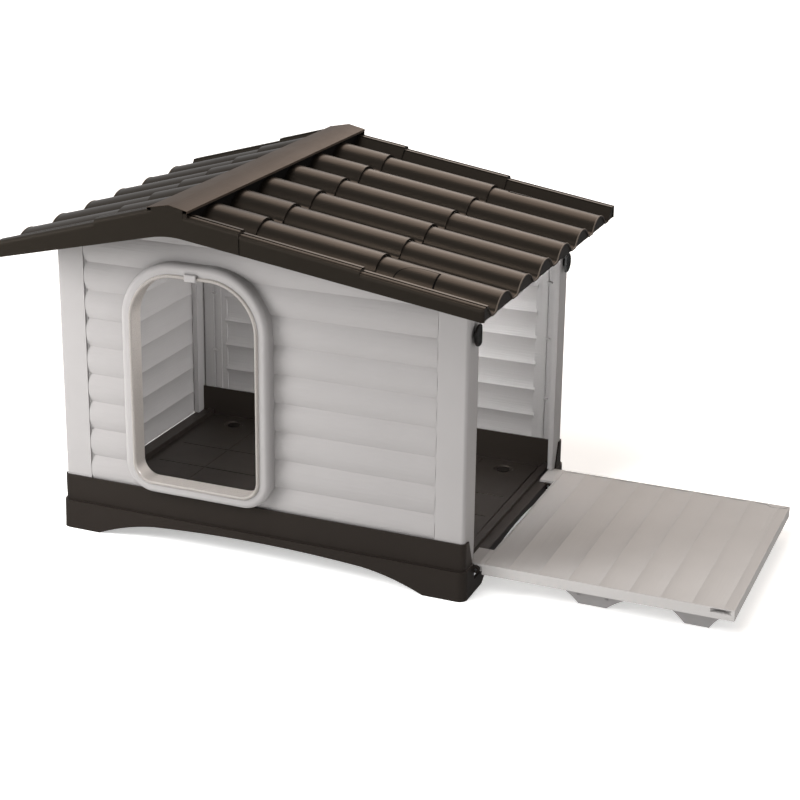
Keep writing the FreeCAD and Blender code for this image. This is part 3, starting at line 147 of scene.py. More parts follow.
@dataclass(frozen=True)
class Boards:
    """Hollowed boards side by side along one axis of a sheet, with a crease between each two.

    Pitch, the place of one crease and depth are in house millimetres. The sheet faces along
    another axis, and a higher power leaves the boards flatter between narrower creases.
    """

    pitch: float
    crease: float
    depth: float
    axis: str
    face: str
    power: float

    def pattern(self, tree: bpy.types.NodeTree,
                coords: bpy.types.NodeSocket) -> bpy.types.NodeSocket:
        """Height |2 f - 1|^n over each board, with f running from 0 to 1 between two creases.

        It is multiplied by the share of the surface's own normal that points along the face
        axis, so that the narrow edges of the panel stay plain.

        Args:
            tree: node tree of the material.
            coords: place on the piece.

        Returns:
            The height, between zero and one.
        """
        along = add_node(tree, "ShaderNodeSeparateXYZ", links={"Vector": coords}).outputs[self.axis]
        origin = HOUSE_X if self.axis == "X" else 0.0
        boards = add_node(tree, "ShaderNodeMapRange",
                          {"From Min": self.crease * MM + origin,
                           "From Max": (self.crease + self.pitch) * MM + origin},
                          {"Value": along}, clamp=False).outputs["Result"]
        share = add_node(tree, "ShaderNodeMath", links={0: boards},
                         operation="FRACT").outputs["Value"]
        offset = add_node(tree, "ShaderNodeMath", {1: 2.0, 2: -1.0}, {0: share},
                          operation="MULTIPLY_ADD").outputs["Value"]
        size = add_node(tree, "ShaderNodeMath", links={0: offset},
                        operation="ABSOLUTE").outputs["Value"]
        height = add_node(tree, "ShaderNodeMath", {1: self.power}, {0: size},
                          operation="POWER").outputs["Value"]
        normal = add_node(tree, "ShaderNodeTexCoord").outputs["Normal"]
        part = add_node(tree, "ShaderNodeSeparateXYZ", links={"Vector": normal}).outputs[self.face]
        facing = add_node(tree, "ShaderNodeMath", links={0: part},
                          operation="ABSOLUTE").outputs["Value"]
        return add_node(tree, "ShaderNodeMath", links={0: height, 1: facing},
                        operation="MULTIPLY").outputs["Value"]


@dataclass(frozen=True)
class MouldedPlastic:
    """Injection-moulded polypropylene: one colour through and through, satin from its tool.

    Lengths are in millimetres. The flow of the melt leaves a faint mottling, cooling leaves
    shallow sinks, the spark-eroded tool leaves a fine texture, and lap boards and tiles carry
    an engraved grain as well. Texture and grain are drawn coarser than the real ones, which
    are too fine to show in the render.
    """

    name: str
    colour: str
    flow_colour: str
    roughness: float
    roughness_spread: float = 0.06
    flow_size: float = 90.0
    texture_size: float = 1.6
    texture_depth: float = 0.03
    sink_size: float = 70.0
    sink_depth: float = 0.06
    edge_round: float = 0.8
    grain: Grain = Grain.NONE
    grain_length: float = 85.0
    grain_width: float = 3.4
    grain_depth: float = 0.4
    refraction: float = 1.49
    # Tint of the reflections: a warm tint is painted light, standing for warm light in the
    # reflections
    gleam: str = "#ffffff"
    boards: Boards | None = None

    def build(self) -> bpy.types.Material:
        """Make the material.

        Returns:
            The material, ready for its pieces.
        """
        material, tree = empty_material(self.name)
        coords = add_node(tree, "ShaderNodeTexCoord").outputs["Object"]
        flow = add_node(tree, "ShaderNodeTexNoise",
                        {"Scale": 1 / (self.flow_size * MM), "Detail": 3.0, "Roughness": 0.55},
                        {"Vector": coords})
        colour = add_node(tree, "ShaderNodeMix",
                          {MIX_A: linear(self.colour), MIX_B: linear(self.flow_colour)},
                          {MIX_FACTOR: flow.outputs["Fac"]}, data_type="RGBA")
        gloss = add_node(tree, "ShaderNodeMapRange",
                         {"To Min": self.roughness - self.roughness_spread,
                          "To Max": self.roughness + self.roughness_spread},
                         {"Value": flow.outputs["Fac"]})
        if self.edge_round:
            edges = add_node(tree, "ShaderNodeBevel", {"Radius": self.edge_round * MM}, samples=4)
        else:
            edges = add_node(tree, "ShaderNodeNewGeometry")
        normal = edges.outputs["Normal"]
        for height, depth in self.reliefs(tree, coords):
            normal = add_node(tree, "ShaderNodeBump", {"Distance": depth * MM},
                              {"Height": height, "Normal": normal}).outputs["Normal"]
        shader = add_node(tree, "ShaderNodeBsdfPrincipled",
                          {"IOR": self.refraction, "Specular Tint": linear(self.gleam)},
                          {"Base Color": colour.outputs[MIX_RESULT], "Normal": normal,
                           "Roughness": gloss.outputs["Result"]})
        add_node(tree, "ShaderNodeOutputMaterial", links={"Surface": shader.outputs["BSDF"]})
        return material

    def reliefs(self, tree: bpy.types.NodeTree,
                coords: bpy.types.NodeSocket) -> list[tuple[bpy.types.NodeSocket, float]]:
        """Every pattern that raises the surface, from the broadest to the finest.

        Args:
            tree: node tree of the material.
            coords: place on the piece.

        Returns:
            The height, between zero and one, and the depth in millimetres of each pattern.
        """
        patterns = []
        if self.sink_depth:
            sinks = add_node(tree, "ShaderNodeTexNoise",
                             {"Scale": 1 / (self.sink_size * MM), "Detail": 1.0},
                             {"Vector": coords})
            patterns.append((sinks.outputs["Fac"], self.sink_depth))
        if self.boards:
            patterns.append((self.boards.pattern(tree, coords), self.boards.depth))
        if self.grain is not Grain.NONE:
            patterns.append((self.grain_pattern(tree, coords), self.grain_depth))
        texture = add_node(tree, "ShaderNodeTexNoise",
                           {"Scale": 1 / (self.texture_size * MM), "Detail": 2.0},
                           {"Vector": coords})
        patterns.append((texture.outputs["Fac"], self.texture_depth))
        return patterns

    def grain_pattern(self, tree: bpy.types.NodeTree,
                      coords: bpy.types.NodeSocket) -> bpy.types.NodeSocket:
        """Long thin streaks along the boards, as noise stretched along the grain.

        Args:
            tree: node tree of the material.
            coords: place on the piece.

        Returns:
            The height, between zero and one.
        """
        along = 1 / (self.grain_length * MM)
        across = 1 / (self.grain_width * MM)
        scale = (along, across, across) if self.grain is Grain.ALONG_X else (across, along, across)
        stretched = add_node(tree, "ShaderNodeMapping", {"Scale": scale}, {"Vector": coords})
        streaks = add_node(tree, "ShaderNodeTexNoise",
                           {"Scale": 1.0, "Detail": 3.0, "Distortion": 0.4},
                           {"Vector": stretched.outputs["Vector"]})
        return streaks.outputs["Fac"]


@dataclass(frozen=True)
class WorkedMetal:
    """Metal drawn or rolled to shape, with fine tool marks. Lengths are in millimetres.

    A bareness under 1 stands for a thin matt skin over the metal. The marks are drawn coarser
    than the real ones, which are too fine to show in the render.
    """

    name: str
    colour: str
    roughness: float
    mark_width: float = 0.6
    mark_depth: float = 0.01
    roughness_spread: float = 0.08
    bareness: float = 1.0

    def build(self) -> bpy.types.Material:
        """Make the material.

        Returns:
            The material, ready for its pieces.
        """
        material, tree = empty_material(self.name)
        coords = add_node(tree, "ShaderNodeTexCoord").outputs["Object"]
        marks = add_node(tree, "ShaderNodeTexNoise",
                         {"Scale": 1 / (self.mark_width * MM), "Detail": 2.0}, {"Vector": coords})
        gloss = add_node(tree, "ShaderNodeMapRange",
                         {"To Min": self.roughness - self.roughness_spread,
                          "To Max": self.roughness + self.roughness_spread},
                         {"Value": marks.outputs["Fac"]})
        bump = add_node(tree, "ShaderNodeBump", {"Distance": self.mark_depth * MM},
                        {"Height": marks.outputs["Fac"]})
        shader = add_node(tree, "ShaderNodeBsdfPrincipled",
                          {"Base Color": linear(self.colour), "Metallic": self.bareness},
                          {"Roughness": gloss.outputs["Result"], "Normal": bump.outputs["Normal"]})
        add_node(tree, "ShaderNodeOutputMaterial", links={"Surface": shader.outputs["BSDF"]})
        return material


class Finishes:
    """Every finish of the kennel, named for what the real one is; where a colour is painted light
    or shade, its comment says so.
    """

    def __init__(self) -> None:
        """Build the materials once, so that pieces of one moulding share theirs."""
        # Dark brown-grey polypropylene: the satin skin shows broad soft highlights on the rolls,
        # their warm tint painted
        self.roof = MouldedPlastic("moulded_dark_polypropylene", "#1e1b17", "#1a1713",
                                   roughness=0.3, texture_depth=0.02, sink_depth=0.0,
                                   edge_round=0.0, grain=Grain.ALONG_X, grain_width=2.6,
                                   grain_depth=0.08, refraction=1.55, gleam="#ffead9").build()
        # The ridge cap has lines drawn along it in the tool, which spread its shine to a grey; the
        # warm tint of that shine is painted
        self.cap = MouldedPlastic("lined_dark_polypropylene", "#3d342c", "#352d26",
                                  roughness=0.46, texture_depth=0.02, sink_depth=0.0,
                                  edge_round=0.0, grain=Grain.ALONG_Y, grain_length=170.0,
                                  grain_width=4.0, grain_depth=0.35, gleam="#ffdcc0").build()
        # The rim of the tiles at an eave: a fine light line round each roll's end, its light colour
        # a painted highlight
        self.rim = MouldedPlastic("dark_polypropylene_painted_highlight", "#6a6158", "#5d554d",
                                  roughness=0.36, texture_depth=0.0, sink_depth=0.0,
                                  edge_round=0.0, gleam="#ffead9").build()
        # Painted shade: near-black strips laid in the deep narrow gaps between mouldings, where no
        # light reaches the dark plastic
        self.gap = MouldedPlastic("dark_polypropylene_painted_shade", "#0d0b0a", "#0b0a09",
                                  roughness=0.8, texture_depth=0.0, sink_depth=0.0,
                                  edge_round=0.0, refraction=1.2).build()
        # The tray's plastic is a little lighter than the roof's, and duller from its rougher tool;
        # the faint warm tint of its shine is painted
        self.base = MouldedPlastic("moulded_dark_tray_polypropylene", "#25211e", "#221e1b",
                                   roughness=0.42, refraction=1.42, gleam="#ffeee2").build()
        # The light grey plastic below comes as lit and shaded copies of one colour: painted light
        # and shade
        # Light warm grey polypropylene with grain engraved along the boards of front and back, in a
        # darker copy than the panels': painted shade
        self.wall = MouldedPlastic("grained_light_polypropylene_across", "#928f8e", "#8d8a89",
                                   roughness=0.5, grain=Grain.ALONG_X, grain_depth=0.5).build()
        # The same plastic on the side panels, whose boards run from front to back
        self.panel = MouldedPlastic("grained_light_polypropylene_along", "#a3a09f", "#9e9b9a",
                                    roughness=0.5, grain=Grain.ALONG_Y).build()
        # The porch is the inside of such boards: their hollows show as soft bands of shade; its
        # colour, a lighter copy of the plastic, is painted light on the upturned deck
        self.porch = MouldedPlastic("grained_light_polypropylene_deck", "#aaa7a5", "#a5a2a0",
                                    roughness=0.5, grain=Grain.ALONG_Y,
                                    boards=Boards(pitch=52.0, crease=448.0, depth=1.4, axis="X",
                                                  face="Z", power=3.0)).build()
        # The fixed panel shows the same hollows to the cabin, one above the other, in a darker copy
        # of the plastic: painted shade in the cabin
        self.lining = MouldedPlastic("grained_light_polypropylene_inside", "#9b9897", "#969392",
                                     roughness=0.5, grain=Grain.ALONG_Y,
                                     boards=Boards(pitch=52.0, crease=99.4, depth=3.0, axis="Z",
                                                   face="X", power=2.0)).build()
        # Posts, rails, legs, clip and door surround: plain fine texture of the tool, no grain, in
        # the walls' darker copy of the plastic: painted shade
        self.post = MouldedPlastic("plain_light_polypropylene", "#93908f", "#8e8b8a",
                                   roughness=0.46).build()
        # Near-black acetal of buttons and plugs, polished in the tool, so it mirrors the sky
        self.button = MouldedPlastic("polished_dark_acetal", "#191614", "#161311", roughness=0.24,
                                     roughness_spread=0.03, texture_depth=0.0, sink_depth=0.02,
                                     edge_round=0.5, refraction=1.36).build()
        # Anodised aluminium strip: a bright satin line round the doorway
        self.guard = WorkedMetal("anodised_aluminium", "#cdc6c0", 0.3, bareness=0.65).build()
        # Zinc-plated steel of screws and pins: cooler and darker than the aluminium
        self.steel = WorkedMetal("zinc_plated_steel", "#b9bcc0", 0.32).build()


@dataclass
class Mouldings:
    """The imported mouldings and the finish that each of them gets."""

    finishes: Finishes
    plan: dict[str, tuple[str, ...]] = field(default_factory=lambda: {
        "roof": ("roof_left", "roof_right", "roof_covers"),
        "base": ("base",),
        "wall": ("front_wall", "back_wall"),
        "panel": ("side_panel_boards", "left_panel_boards"),
        "lining": ("left_panel",),
        "porch": ("side_panel",),
        "post": ("post_front_right", "post_back_right", "post_front_left", "post_back_left",
                 "header_right", "header_left", "front_leg", "back_leg", "guard_clip"),
        "button": ("front_latch", "back_latch", "drain_plugs"),
        "guard": ("door_guard",),
        "steel": ("hinge_pins", "leg_pins", "latch_screws", "left_panel_screws", "roof_screws"),
    })

    def dress(self) -> None:
        """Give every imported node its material."""
        for finish, nodes in self.plan.items():
            material = getattr(self.finishes, finish)
            for node in nodes:
                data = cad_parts[node].data
                data.materials.clear()
                data.materials.append(material)
                LOG.info("%s is finished in %s", node, material.name)


def grid_faces(rows: int, columns: int, closed_rows: bool, closed_columns: bool) -> np.ndarray:
    """Number the quads of a grid of vertices.

    Args:
        rows: rows of vertices.
        columns: vertices in a row.
        closed_rows: whether the last row joins the first.
        closed_columns: whether the last column joins the first.

    Returns:
        Four vertex numbers for each quad.
    """
    row, column = np.meshgrid(np.arange(rows if closed_rows else rows - 1),
                              np.arange(columns if closed_columns else columns - 1), indexing="ij")
    next_row, next_column = (row + 1) % rows, (column + 1) % columns
    quads = np.stack((row * columns + column, next_row * columns + column,
                      next_row * columns + next_column, row * columns + next_column), axis=-1)
    return quads.reshape(-1, 4)


@dataclass
class Surface:
    """A closed surface: points in house millimetres, quads between them, and flat end faces."""

    points: np.ndarray
    quads: np.ndarray
    ends: Sequence[np.ndarray] = ()

    def volume(self) -> float:
        """Signed volume: the sum of det(a, b, c) / 6 over all triangles a, b, c.

        Returns:
            Volume in cubic millimetres, below zero where the faces look inwards.
        """
        centred = self.points - self.points.mean(axis=0)
        fans = [self.quads[:, (0, 1, 2)], self.quads[:, (0, 2, 3)]]
        fans += [np.column_stack((np.full(len(end) - 2, end[0]), end[1:-1], end[2:]))
                 for end in self.ends]
        first, second, third = (centred[np.concatenate(fans)[:, corner]] for corner in range(3))
        return float(np.einsum("ij,ij->", first, np.cross(second, third))) / 6

    def faces(self, start: int) -> list[list[int]]:
        """Number the corners of all faces, turned so that every face looks outwards.

        Args:
            start: number of this surface's first point in the whole piece.

        Returns:
            Corner numbers of each face.
        """
        step = 1 if self.volume() > 0 else -1
        ends = [(end[::step] + start).tolist() for end in self.ends]
        return (self.quads[:, ::step] + start).tolist() + ends


def tube(rings: np.ndarray) -> Surface:
    """Close rings of points to a tube with a flat face on its first and its last ring.

    Args:
        rings: rings by points round the tube by XYZ.

    Returns:
        The closed surface.
    """
    count, around = rings.shape[:2]
    last = np.arange(around) + (count - 1) * around
    return Surface(rings.reshape(-1, 3), grid_faces(count, around, False, True),
                   [np.arange(around)[::-1], last])


def shell(outer: np.ndarray, inner: np.ndarray) -> Surface:
    """Close two skins that lie point on point, such as a sheet's outside and inside.

    Args:
        outer: rings by points by XYZ of one skin.
        inner: the same for the other skin.

    Returns:
        The closed surface, with narrow strips along its four edges.
    """
    count, across = outer.shape[:2]
    rings = np.concatenate((outer, inner[:, ::-1]), axis=1)
    near = np.arange(across - 1)
    far = 2 * across - 1 - near
    strip = np.stack((far, far - 1, near + 1, near), axis=-1)
    last = strip[:, ::-1] + (count - 1) * 2 * across
    quads = np.concatenate((grid_faces(count, 2 * across, False, True), strip, last))
    return Surface(rings.reshape(-1, 3), quads)


def add_object(name: str, data: bpy.types.ID) -> bpy.types.Object:
    """Put a mesh, a light or a camera into the scene.

    Args:
        name: name of the object.
        data: what the object holds.

    Returns:
        The new object, at the origin.
    """
    thing = bpy.data.objects.new(name, data)
    bpy.context.scene.collection.objects.link(thing)
    return thing


def make_piece(name: str, surfaces: Sequence[Surface], material: bpy.types.Material,
               sharp: float = 35.0) -> bpy.types.Object:
    """Put closed surfaces together to one piece of the visible model.

    Args:
        name: name of the piece.
        surfaces: its closed surfaces.
        material: its finish.
        sharp: edges that turn by more than this many degrees stay sharp.

    Returns:
        The new object, at the origin.
    """
    counts = [len(surface.points) for surface in surfaces]
    starts = np.concatenate(([0], np.cumsum(counts)[:-1])).astype(int).tolist()
    faces = [face for surface, start in zip(surfaces, starts) for face in surface.faces(start)]
    points = np.concatenate([surface.points for surface in surfaces]) * MM + (HOUSE_X, 0.0, 0.0)
    mesh = bpy.data.meshes.new(name)
    mesh.from_pydata(points.tolist(), [], faces)
    mesh.polygons.foreach_set("use_smooth", np.ones(len(mesh.polygons), dtype=bool))
    mesh.set_sharp_from_angle(angle=math.radians(sharp))
    mesh.materials.append(material)
    piece = add_object(name, mesh)
    LOG.info("%s has %d faces", name, len(mesh.polygons))
    return piece


def arc_points(centre: tuple[float, float], radii: tuple[float, float], start: float, end: float,
               steps: int = 8) -> np.ndarray:
    """Points of an elliptic arc, centre + (a cos t, b sin t).

    Args:
        centre: middle of the arc.
        radii: half axes a and b.
        start: first angle in degrees.
        end: last angle in degrees.
        steps: number of chords.

    Returns:
        Points of the arc, with both ends.
    """
    angle = np.radians(np.linspace(start, end, steps + 1))
    return np.stack((centre[0] + radii[0] * np.cos(angle),
                     centre[1] + radii[1] * np.sin(angle)), axis=-1)


@dataclass(frozen=True)
class Course:
    """One course of tiles: its upper and lower end along X, the crest's level below, its pitch."""

    x_high: float
    x_low: float
    z_low: float
    pitch: float

    def level(self, x: np.ndarray) -> np.ndarray:
        """Height of the crests at X: the lower end's level plus pitch times run."""
        return self.z_low + np.abs(self.x_low - x) * self.pitch

    def downhill(self) -> float:
        """Direction along X in which the course falls, 1 or -1."""
        return math.copysign(1.0, self.x_low - self.x_high)

    def stretch(self) -> float:
        """Upright depth of one unit of depth square to the slope, sqrt(1 + pitch^2)."""
        return math.hypot(1.0, self.pitch)


@dataclass
class TileRoof:
    """The two roof mouldings with round rolls, verges, eave rims and ridge cap, as thin shells."""

    finishes: Finishes
    # Outline and the section that is carried down both slopes
    eave: float = 440.0
    verge: float = 360.0
    wall: float = 2.6
    rolls: int = 6
    roll_pitch: float = 104.3
    roll_height: float = 22.0
    pan: float = 10.0
    valley_radius: float = 14.0
    corner_round: float = 5.0
    # Courses of tiles, each a step above the one below it
    step: float = 4.65
    left_pitch: float = 0.285
    right_pitch: float = 0.155
    left_eave_z: float = 551.0
    right_eave_z: float = 545.0
    left_course_x: float = -245.0
    right_course_x: float = 233.0
    # Hidden tongues under the steps
    tongue: float = 12.0
    tongue_wall: float = 1.0
    tongue_drop: float = 0.2
    tongue_side: float = 0.5
    tongue_lap: float = 0.5
    # Fascia: level at the eave and slope on either side, radius of the arch between them
    fascia_left: tuple[float, float] = (522.0, 0.2326)
    fascia_right: tuple[float, float] = (521.5, 0.141)
    fascia_arch: float = 160.0
    # Seam of the two mouldings, whose dark strip of painted shade reaches so many line widths
    # either way
    seam_x: float = 23.0
    seam_gap: float = 0.4
    seam_line: float = 1.2
    seam_reach: float = 1.5
    seam_depth: float = 0.5
    seam_top: float = 7.5
    # Ridge cap: X and Z of its corners, its lips and the gaps under them, with strips of painted
    # shade
    cap_left: tuple[float, float] = (-144.0, 642.0)
    cap_top: tuple[float, float] = (-104.0, 650.0)
    cap_right: tuple[float, float] = (-70.0, 642.5)
    cap_foot_z: float = 606.0
    cap_lip: float = 8.0
    cap_edge: float = 4.0
    cap_setback: float = 0.6
    cap_row: float = 0.5
    cap_gap_end: float = 10.0
    cap_gap_proud: float = 0.4
    cap_gap_lap: float = 0.2
    # Front screw cover on its roll, which the back one repeats, and the dark gap round it as a
    # strip of painted shade
    cover_x: tuple[float, float] = (264.0, 330.0)
    cover_y: tuple[float, float] = (-305.95, -265.5)
    cover_straight: float = 22.0
    cover_gap: float = 3.0
    cover_lift: float = 0.7
    cover_sheet: float = 1.2
    cover_first_turn: float = 4.0
    gap_lift: float = 0.2
    # Rims round the rolls' ends and the plates behind them
    rim_radius: float = 1.1
    rim_setback: float = 0.1
    plate_recess: float = 1.6
    plate_wall: float = 1.6
    plate_least: float = 0.5
    plate_lift: float = 0.3
    # Fineness of the meshes
    ring_pitch: float = 18.0
    arc_steps: int = 10
    corner_steps: int = 6
    cap_steps: int = 24
    cover_steps: int = 24
    rim_sides: int = 8

    def build(self) -> None:
        """Make both mouldings, the ridge cap and the covers in place of their plainer solids."""
        self.put("tile_roof_left", self.left(), self.finishes.roof, "roof_left")
        self.put("tile_roof_right", self.right(), self.finishes.roof, "roof_right")
        self.put("ridge_cap", [self.cap()], self.finishes.cap, "roof_left")
        self.put("screw_cover_plates", self.covers(0.0, self.cover_lift), self.finishes.roof,
                 "roof_covers")
        # Near-black strips of painted shade in the gaps round the covers, at the seam and under the
        # cap's lips
        self.put("screw_cover_gap_shade", self.covers(self.cover_gap, self.gap_lift), self.finishes.gap,
                 "roof_covers")
        self.put("roof_seam_gap_shade", self.seam(), self.finishes.gap, "roof_right")
        self.put("ridge_cap_gap_shade", self.cap_gaps(), self.finishes.gap, "roof_left")
        left, _, right = self.courses()[:3]
        # The rims' light colour is a painted highlight
        self.put("left_eave_rim", [self.rim(left)], self.finishes.rim, "roof_left")
        self.put("right_eave_rim", [self.rim(right)], self.finishes.rim, "roof_right")

    @staticmethod
    def put(name: str, surfaces: Sequence[Surface], material: bpy.types.Material,
            node: str) -> None:
        """Make one piece of the roof in place of a node.

        Args:
            name: name of the piece.
            surfaces: its closed surfaces.
            material: its finish.
            node: node that the piece stands for.
        """
        piece = make_piece(name, surfaces, material)
        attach(piece, "kennel")
        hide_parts(node)

    def courses(self) -> tuple[Course, ...]:
        """Work out all courses of tiles from eaves, pitches and steps.

        Returns:
            Left lower, left upper, right lower, right middle and right upper course.
        """
        left_high_z = (self.left_eave_z + (self.left_course_x + self.eave) * self.left_pitch
                       + self.step)
        middle_z = (self.right_eave_z + (self.eave - self.right_course_x) * self.right_pitch
                    + self.step)
        upper_z = middle_z + (self.right_course_x - self.seam_x) * self.right_pitch + self.step
        return (
            Course(self.left_course_x, -self.eave, self.left_eave_z, self.left_pitch),
            Course(self.cap_left[0] + self.cap_lip, self.left_course_x, left_high_z,
                   self.left_pitch),
            Course(self.right_course_x, self.eave, self.right_eave_z, self.right_pitch),
            Course(self.seam_x + self.seam_gap + self.seam_line / 2, self.right_course_x,
                   middle_z, self.right_pitch),
            Course(self.cap_right[0] - self.cap_lip, self.seam_x - self.seam_line / 2, upper_z,
                   self.right_pitch),
        )

    def fascia(self, x: np.ndarray) -> np.ndarray:
        """Lower edge of roof and fascia: two slopes, joined by an arch of the given radius.

        The arch's centre lies one radius below both slopes. Between the points where it
        touches them the edge is z = c + sqrt(r^2 - (x - a)^2).

        Args:
            x: places along the roof.

        Returns:
            Height of the edge at these places.
        """
        left_z, left_slope = self.fascia_left
        right_z, right_slope = self.fascia_right
        left_centre = (left_z + left_slope * self.eave
                       - self.fascia_arch * math.hypot(1, left_slope))
        right_centre = (right_z + right_slope * self.eave
                        - self.fascia_arch * math.hypot(1, right_slope))
        middle = (right_centre - left_centre) / (left_slope + right_slope)
        centre = left_centre + left_slope * middle
        start = middle - self.fascia_arch * math.sin(math.atan(left_slope))
        end = middle + self.fascia_arch * math.sin(math.atan(right_slope))
        inside = np.clip(x, start, end) - middle
        arch = centre + np.sqrt(self.fascia_arch ** 2 - inside ** 2)
        left = left_z + left_slope * (x + self.eave)
        right = right_z + right_slope * (self.eave - x)
        return np.where(x < start, left, np.where(x > end, right, arch))

    def roll(self, inset: float) -> np.ndarray:
        """One roll from foot to foot, as Y and depth below its crest.

        A crest arc (R sin t, R - R cos t) meets a valley arc of radius r at the same slope
        on either side. An inset shrinks the crest arc and widens the valley arcs.

        Args:
            inset: distance below the outside, in millimetres.

        Returns:
            Points from the front foot to the back foot.
        """
        half = (self.roll_pitch - self.pan) / 2
        turn = 2 * math.atan(self.roll_height / half)
        crest = half / math.sin(turn) - self.valley_radius
        rising = np.linspace(0.0, turn, self.arc_steps + 1)[:-1]
        falling = np.linspace(turn, 0.0, self.arc_steps + 1)
        valley = self.valley_radius + inset
        foot = np.stack((-half + valley * np.sin(rising),
                         self.roll_height - self.valley_radius + valley * np.cos(rising)), axis=-1)
        top = np.stack((-(crest - inset) * np.sin(falling),
                        crest - (crest - inset) * np.cos(falling)), axis=-1)
        left = np.concatenate((foot, top))
        right = left[-2::-1] * (-1, 1)
        return np.concatenate((left, right))

    def rolls_section(self, inset: float) -> np.ndarray:
        """All rolls side by side, as Y and depth below the crests.

        Args:
            inset: distance below the outside, in millimetres.

        Returns:
            Points from the front to the back.
        """
        centres = (np.arange(self.rolls) + 0.5 - self.rolls / 2) * self.roll_pitch
        shape = self.roll(inset)
        along = centres[:, None] + shape[None, :, 0]
        depth = np.broadcast_to(shape[None, :, 1], along.shape)
        return np.stack((along.ravel(), depth.ravel()), axis=-1)

    def section(self) -> tuple[np.ndarray, np.ndarray]:
        """Outer and inner skin across the roof, point on point, with both verges.

        Each verge has a round edge, a groove, a rib and a fall to the first pan. The first and
        last points are those of the fascia's lower edge.

        Returns:
            Both skins, each as Y and depth below the crests.
        """
        low, wall = self.roll_height, self.wall
        outer = np.array([
            (0, low), (0, 9.0),
            # Round edge
            (0, 7.5), (0.4, 5.2), (1.6, 3.1), (3.6, 1.4), (6.4, 0.4), (10, 0),
            # Groove, rib and fall
            (10, 2.5), (15, 2.5), (15, 0), (21, 0), (21, 2.5), (41, low),
        ])
        inner = np.array([
            (wall, low), (wall, 12.0),
            # Round edge
            (wall, 10.4), (3.2, 9.3), (4.4, 8.1), (5.8, 7.0), (7.5, 5.9), (9.4, 5.1),
            # Flat under groove and rib, and fall
            (10.5, 5.1), (14.5, 5.1), (15.5, 5.1), (18.5, 5.1), (20, 5.1), (39.9, low + wall),
        ])
        skins = []
        for edge, inset in ((outer, 0.0), (inner, wall)):
            front = np.stack((edge[:, 0] - self.verge, edge[:, 1]), axis=-1)
            back = front[::-1] * (-1, 1)
            skins.append(np.concatenate((front, self.rolls_section(inset), back)))
        return skins[0], skins[1]

    def rings(self, course: Course) -> np.ndarray:
        """Places along X for one course, closer together where the eave's corner is round.

        Args:
            course: course of tiles.

        Returns:
            The places, from the upper to the lower end.
        """
        count = max(2, round(abs(course.x_low - course.x_high) / self.ring_pitch))
        if abs(course.x_low) < self.eave:
            return np.linspace(course.x_high, course.x_low, count)
        side = course.downhill()
        turn = np.linspace(0, math.pi / 2, self.corner_steps + 1)[1:]
        bend = self.corner_round * (1 - np.sin(turn))
        straight = np.linspace(course.x_high, course.x_low - side * self.corner_round, count)
        return np.concatenate((straight, course.x_low - side * bend))

    def skin(self, course: Course, section: np.ndarray, x: np.ndarray, inset: float) -> np.ndarray:
        """Carry a section along a course.

        The height is level(x) - depth sqrt(1 + p^2), never below the fascia's edge. Near an
        eave the width is that of the round corner, V - c + sqrt(c^2 - (x - e + c)^2).

        Args:
            course: course of tiles.
            section: Y and depth below the crests.
            x: places along the course.
            inset: distance of the skin from the outside at the verges.

        Returns:
            Points as places by section points by XYZ.
        """
        lower = self.fascia(x)[:, None]
        height = course.level(x)[:, None] - section[None, :, 1] * course.stretch()
        height = np.maximum(height, lower)
        height[:, 0] = height[:, -1] = lower[:, 0]
        over = np.clip(np.abs(x) - self.eave + self.corner_round, 0.0, self.corner_round)
        reach = self.verge - self.corner_round + np.sqrt(self.corner_round ** 2 - over ** 2) - inset
        across = np.clip(section[None, :, 0], -reach[:, None], reach[:, None])
        return np.stack((np.broadcast_to(x[:, None], across.shape), across, height), axis=-1)

    def sheet(self, course: Course) -> Surface:
        """One course as a thin shell from verge to verge.

        Args:
            course: course of tiles.

        Returns:
            The closed shell.
        """
        outer, inner = self.section()
        x = self.rings(course)
        return shell(self.skin(course, outer, x, 0.0), self.skin(course, inner, x, self.wall))

    def tongue_sheet(self, course: Course) -> Surface:
        """The hidden upper end of a course, verge to verge, which the next course laps over.

        Each skin's height is level(x) - depth sqrt(1 + p^2) - drop.

        Args:
            course: course of tiles.

        Returns:
            The closed shell.
        """
        side = course.downhill()
        x = course.x_high + side * np.array([-self.tongue, self.tongue_lap])
        section = self.section()[0]
        reach = self.verge - self.tongue_side
        skins = []
        for drop in (self.tongue_drop, self.tongue_drop + self.tongue_wall):
            height = course.level(x)[:, None] - section[None, :, 1] * course.stretch() - drop
            across = np.broadcast_to(np.clip(section[None, :, 0], -reach, reach), height.shape)
            along = np.broadcast_to(x[:, None], height.shape)
            skins.append(np.stack((along, across, height), axis=-1))
        return shell(skins[0], skins[1])

    def eave_plate(self, course: Course) -> Surface:
        """The flat plate that closes the rolls at an eave, set back behind their rim.

        Its top follows the rolls' inside and its foot the fascia's lower edge.

        Args:
            course: course of tiles that ends at the eave.

        Returns:
            The closed plate.
        """
        setback = np.array([self.plate_recess + self.plate_wall, self.plate_recess])
        x = course.x_low - course.downhill() * setback
        top = self.skin(course, self.section()[1], x, self.wall)
        low = top.copy()
        low[..., 2] = self.fascia(x)[:, None]
        top[..., 2] = np.maximum(top[..., 2], low[..., 2] + self.plate_least) + self.plate_lift
        return shell(top, low)

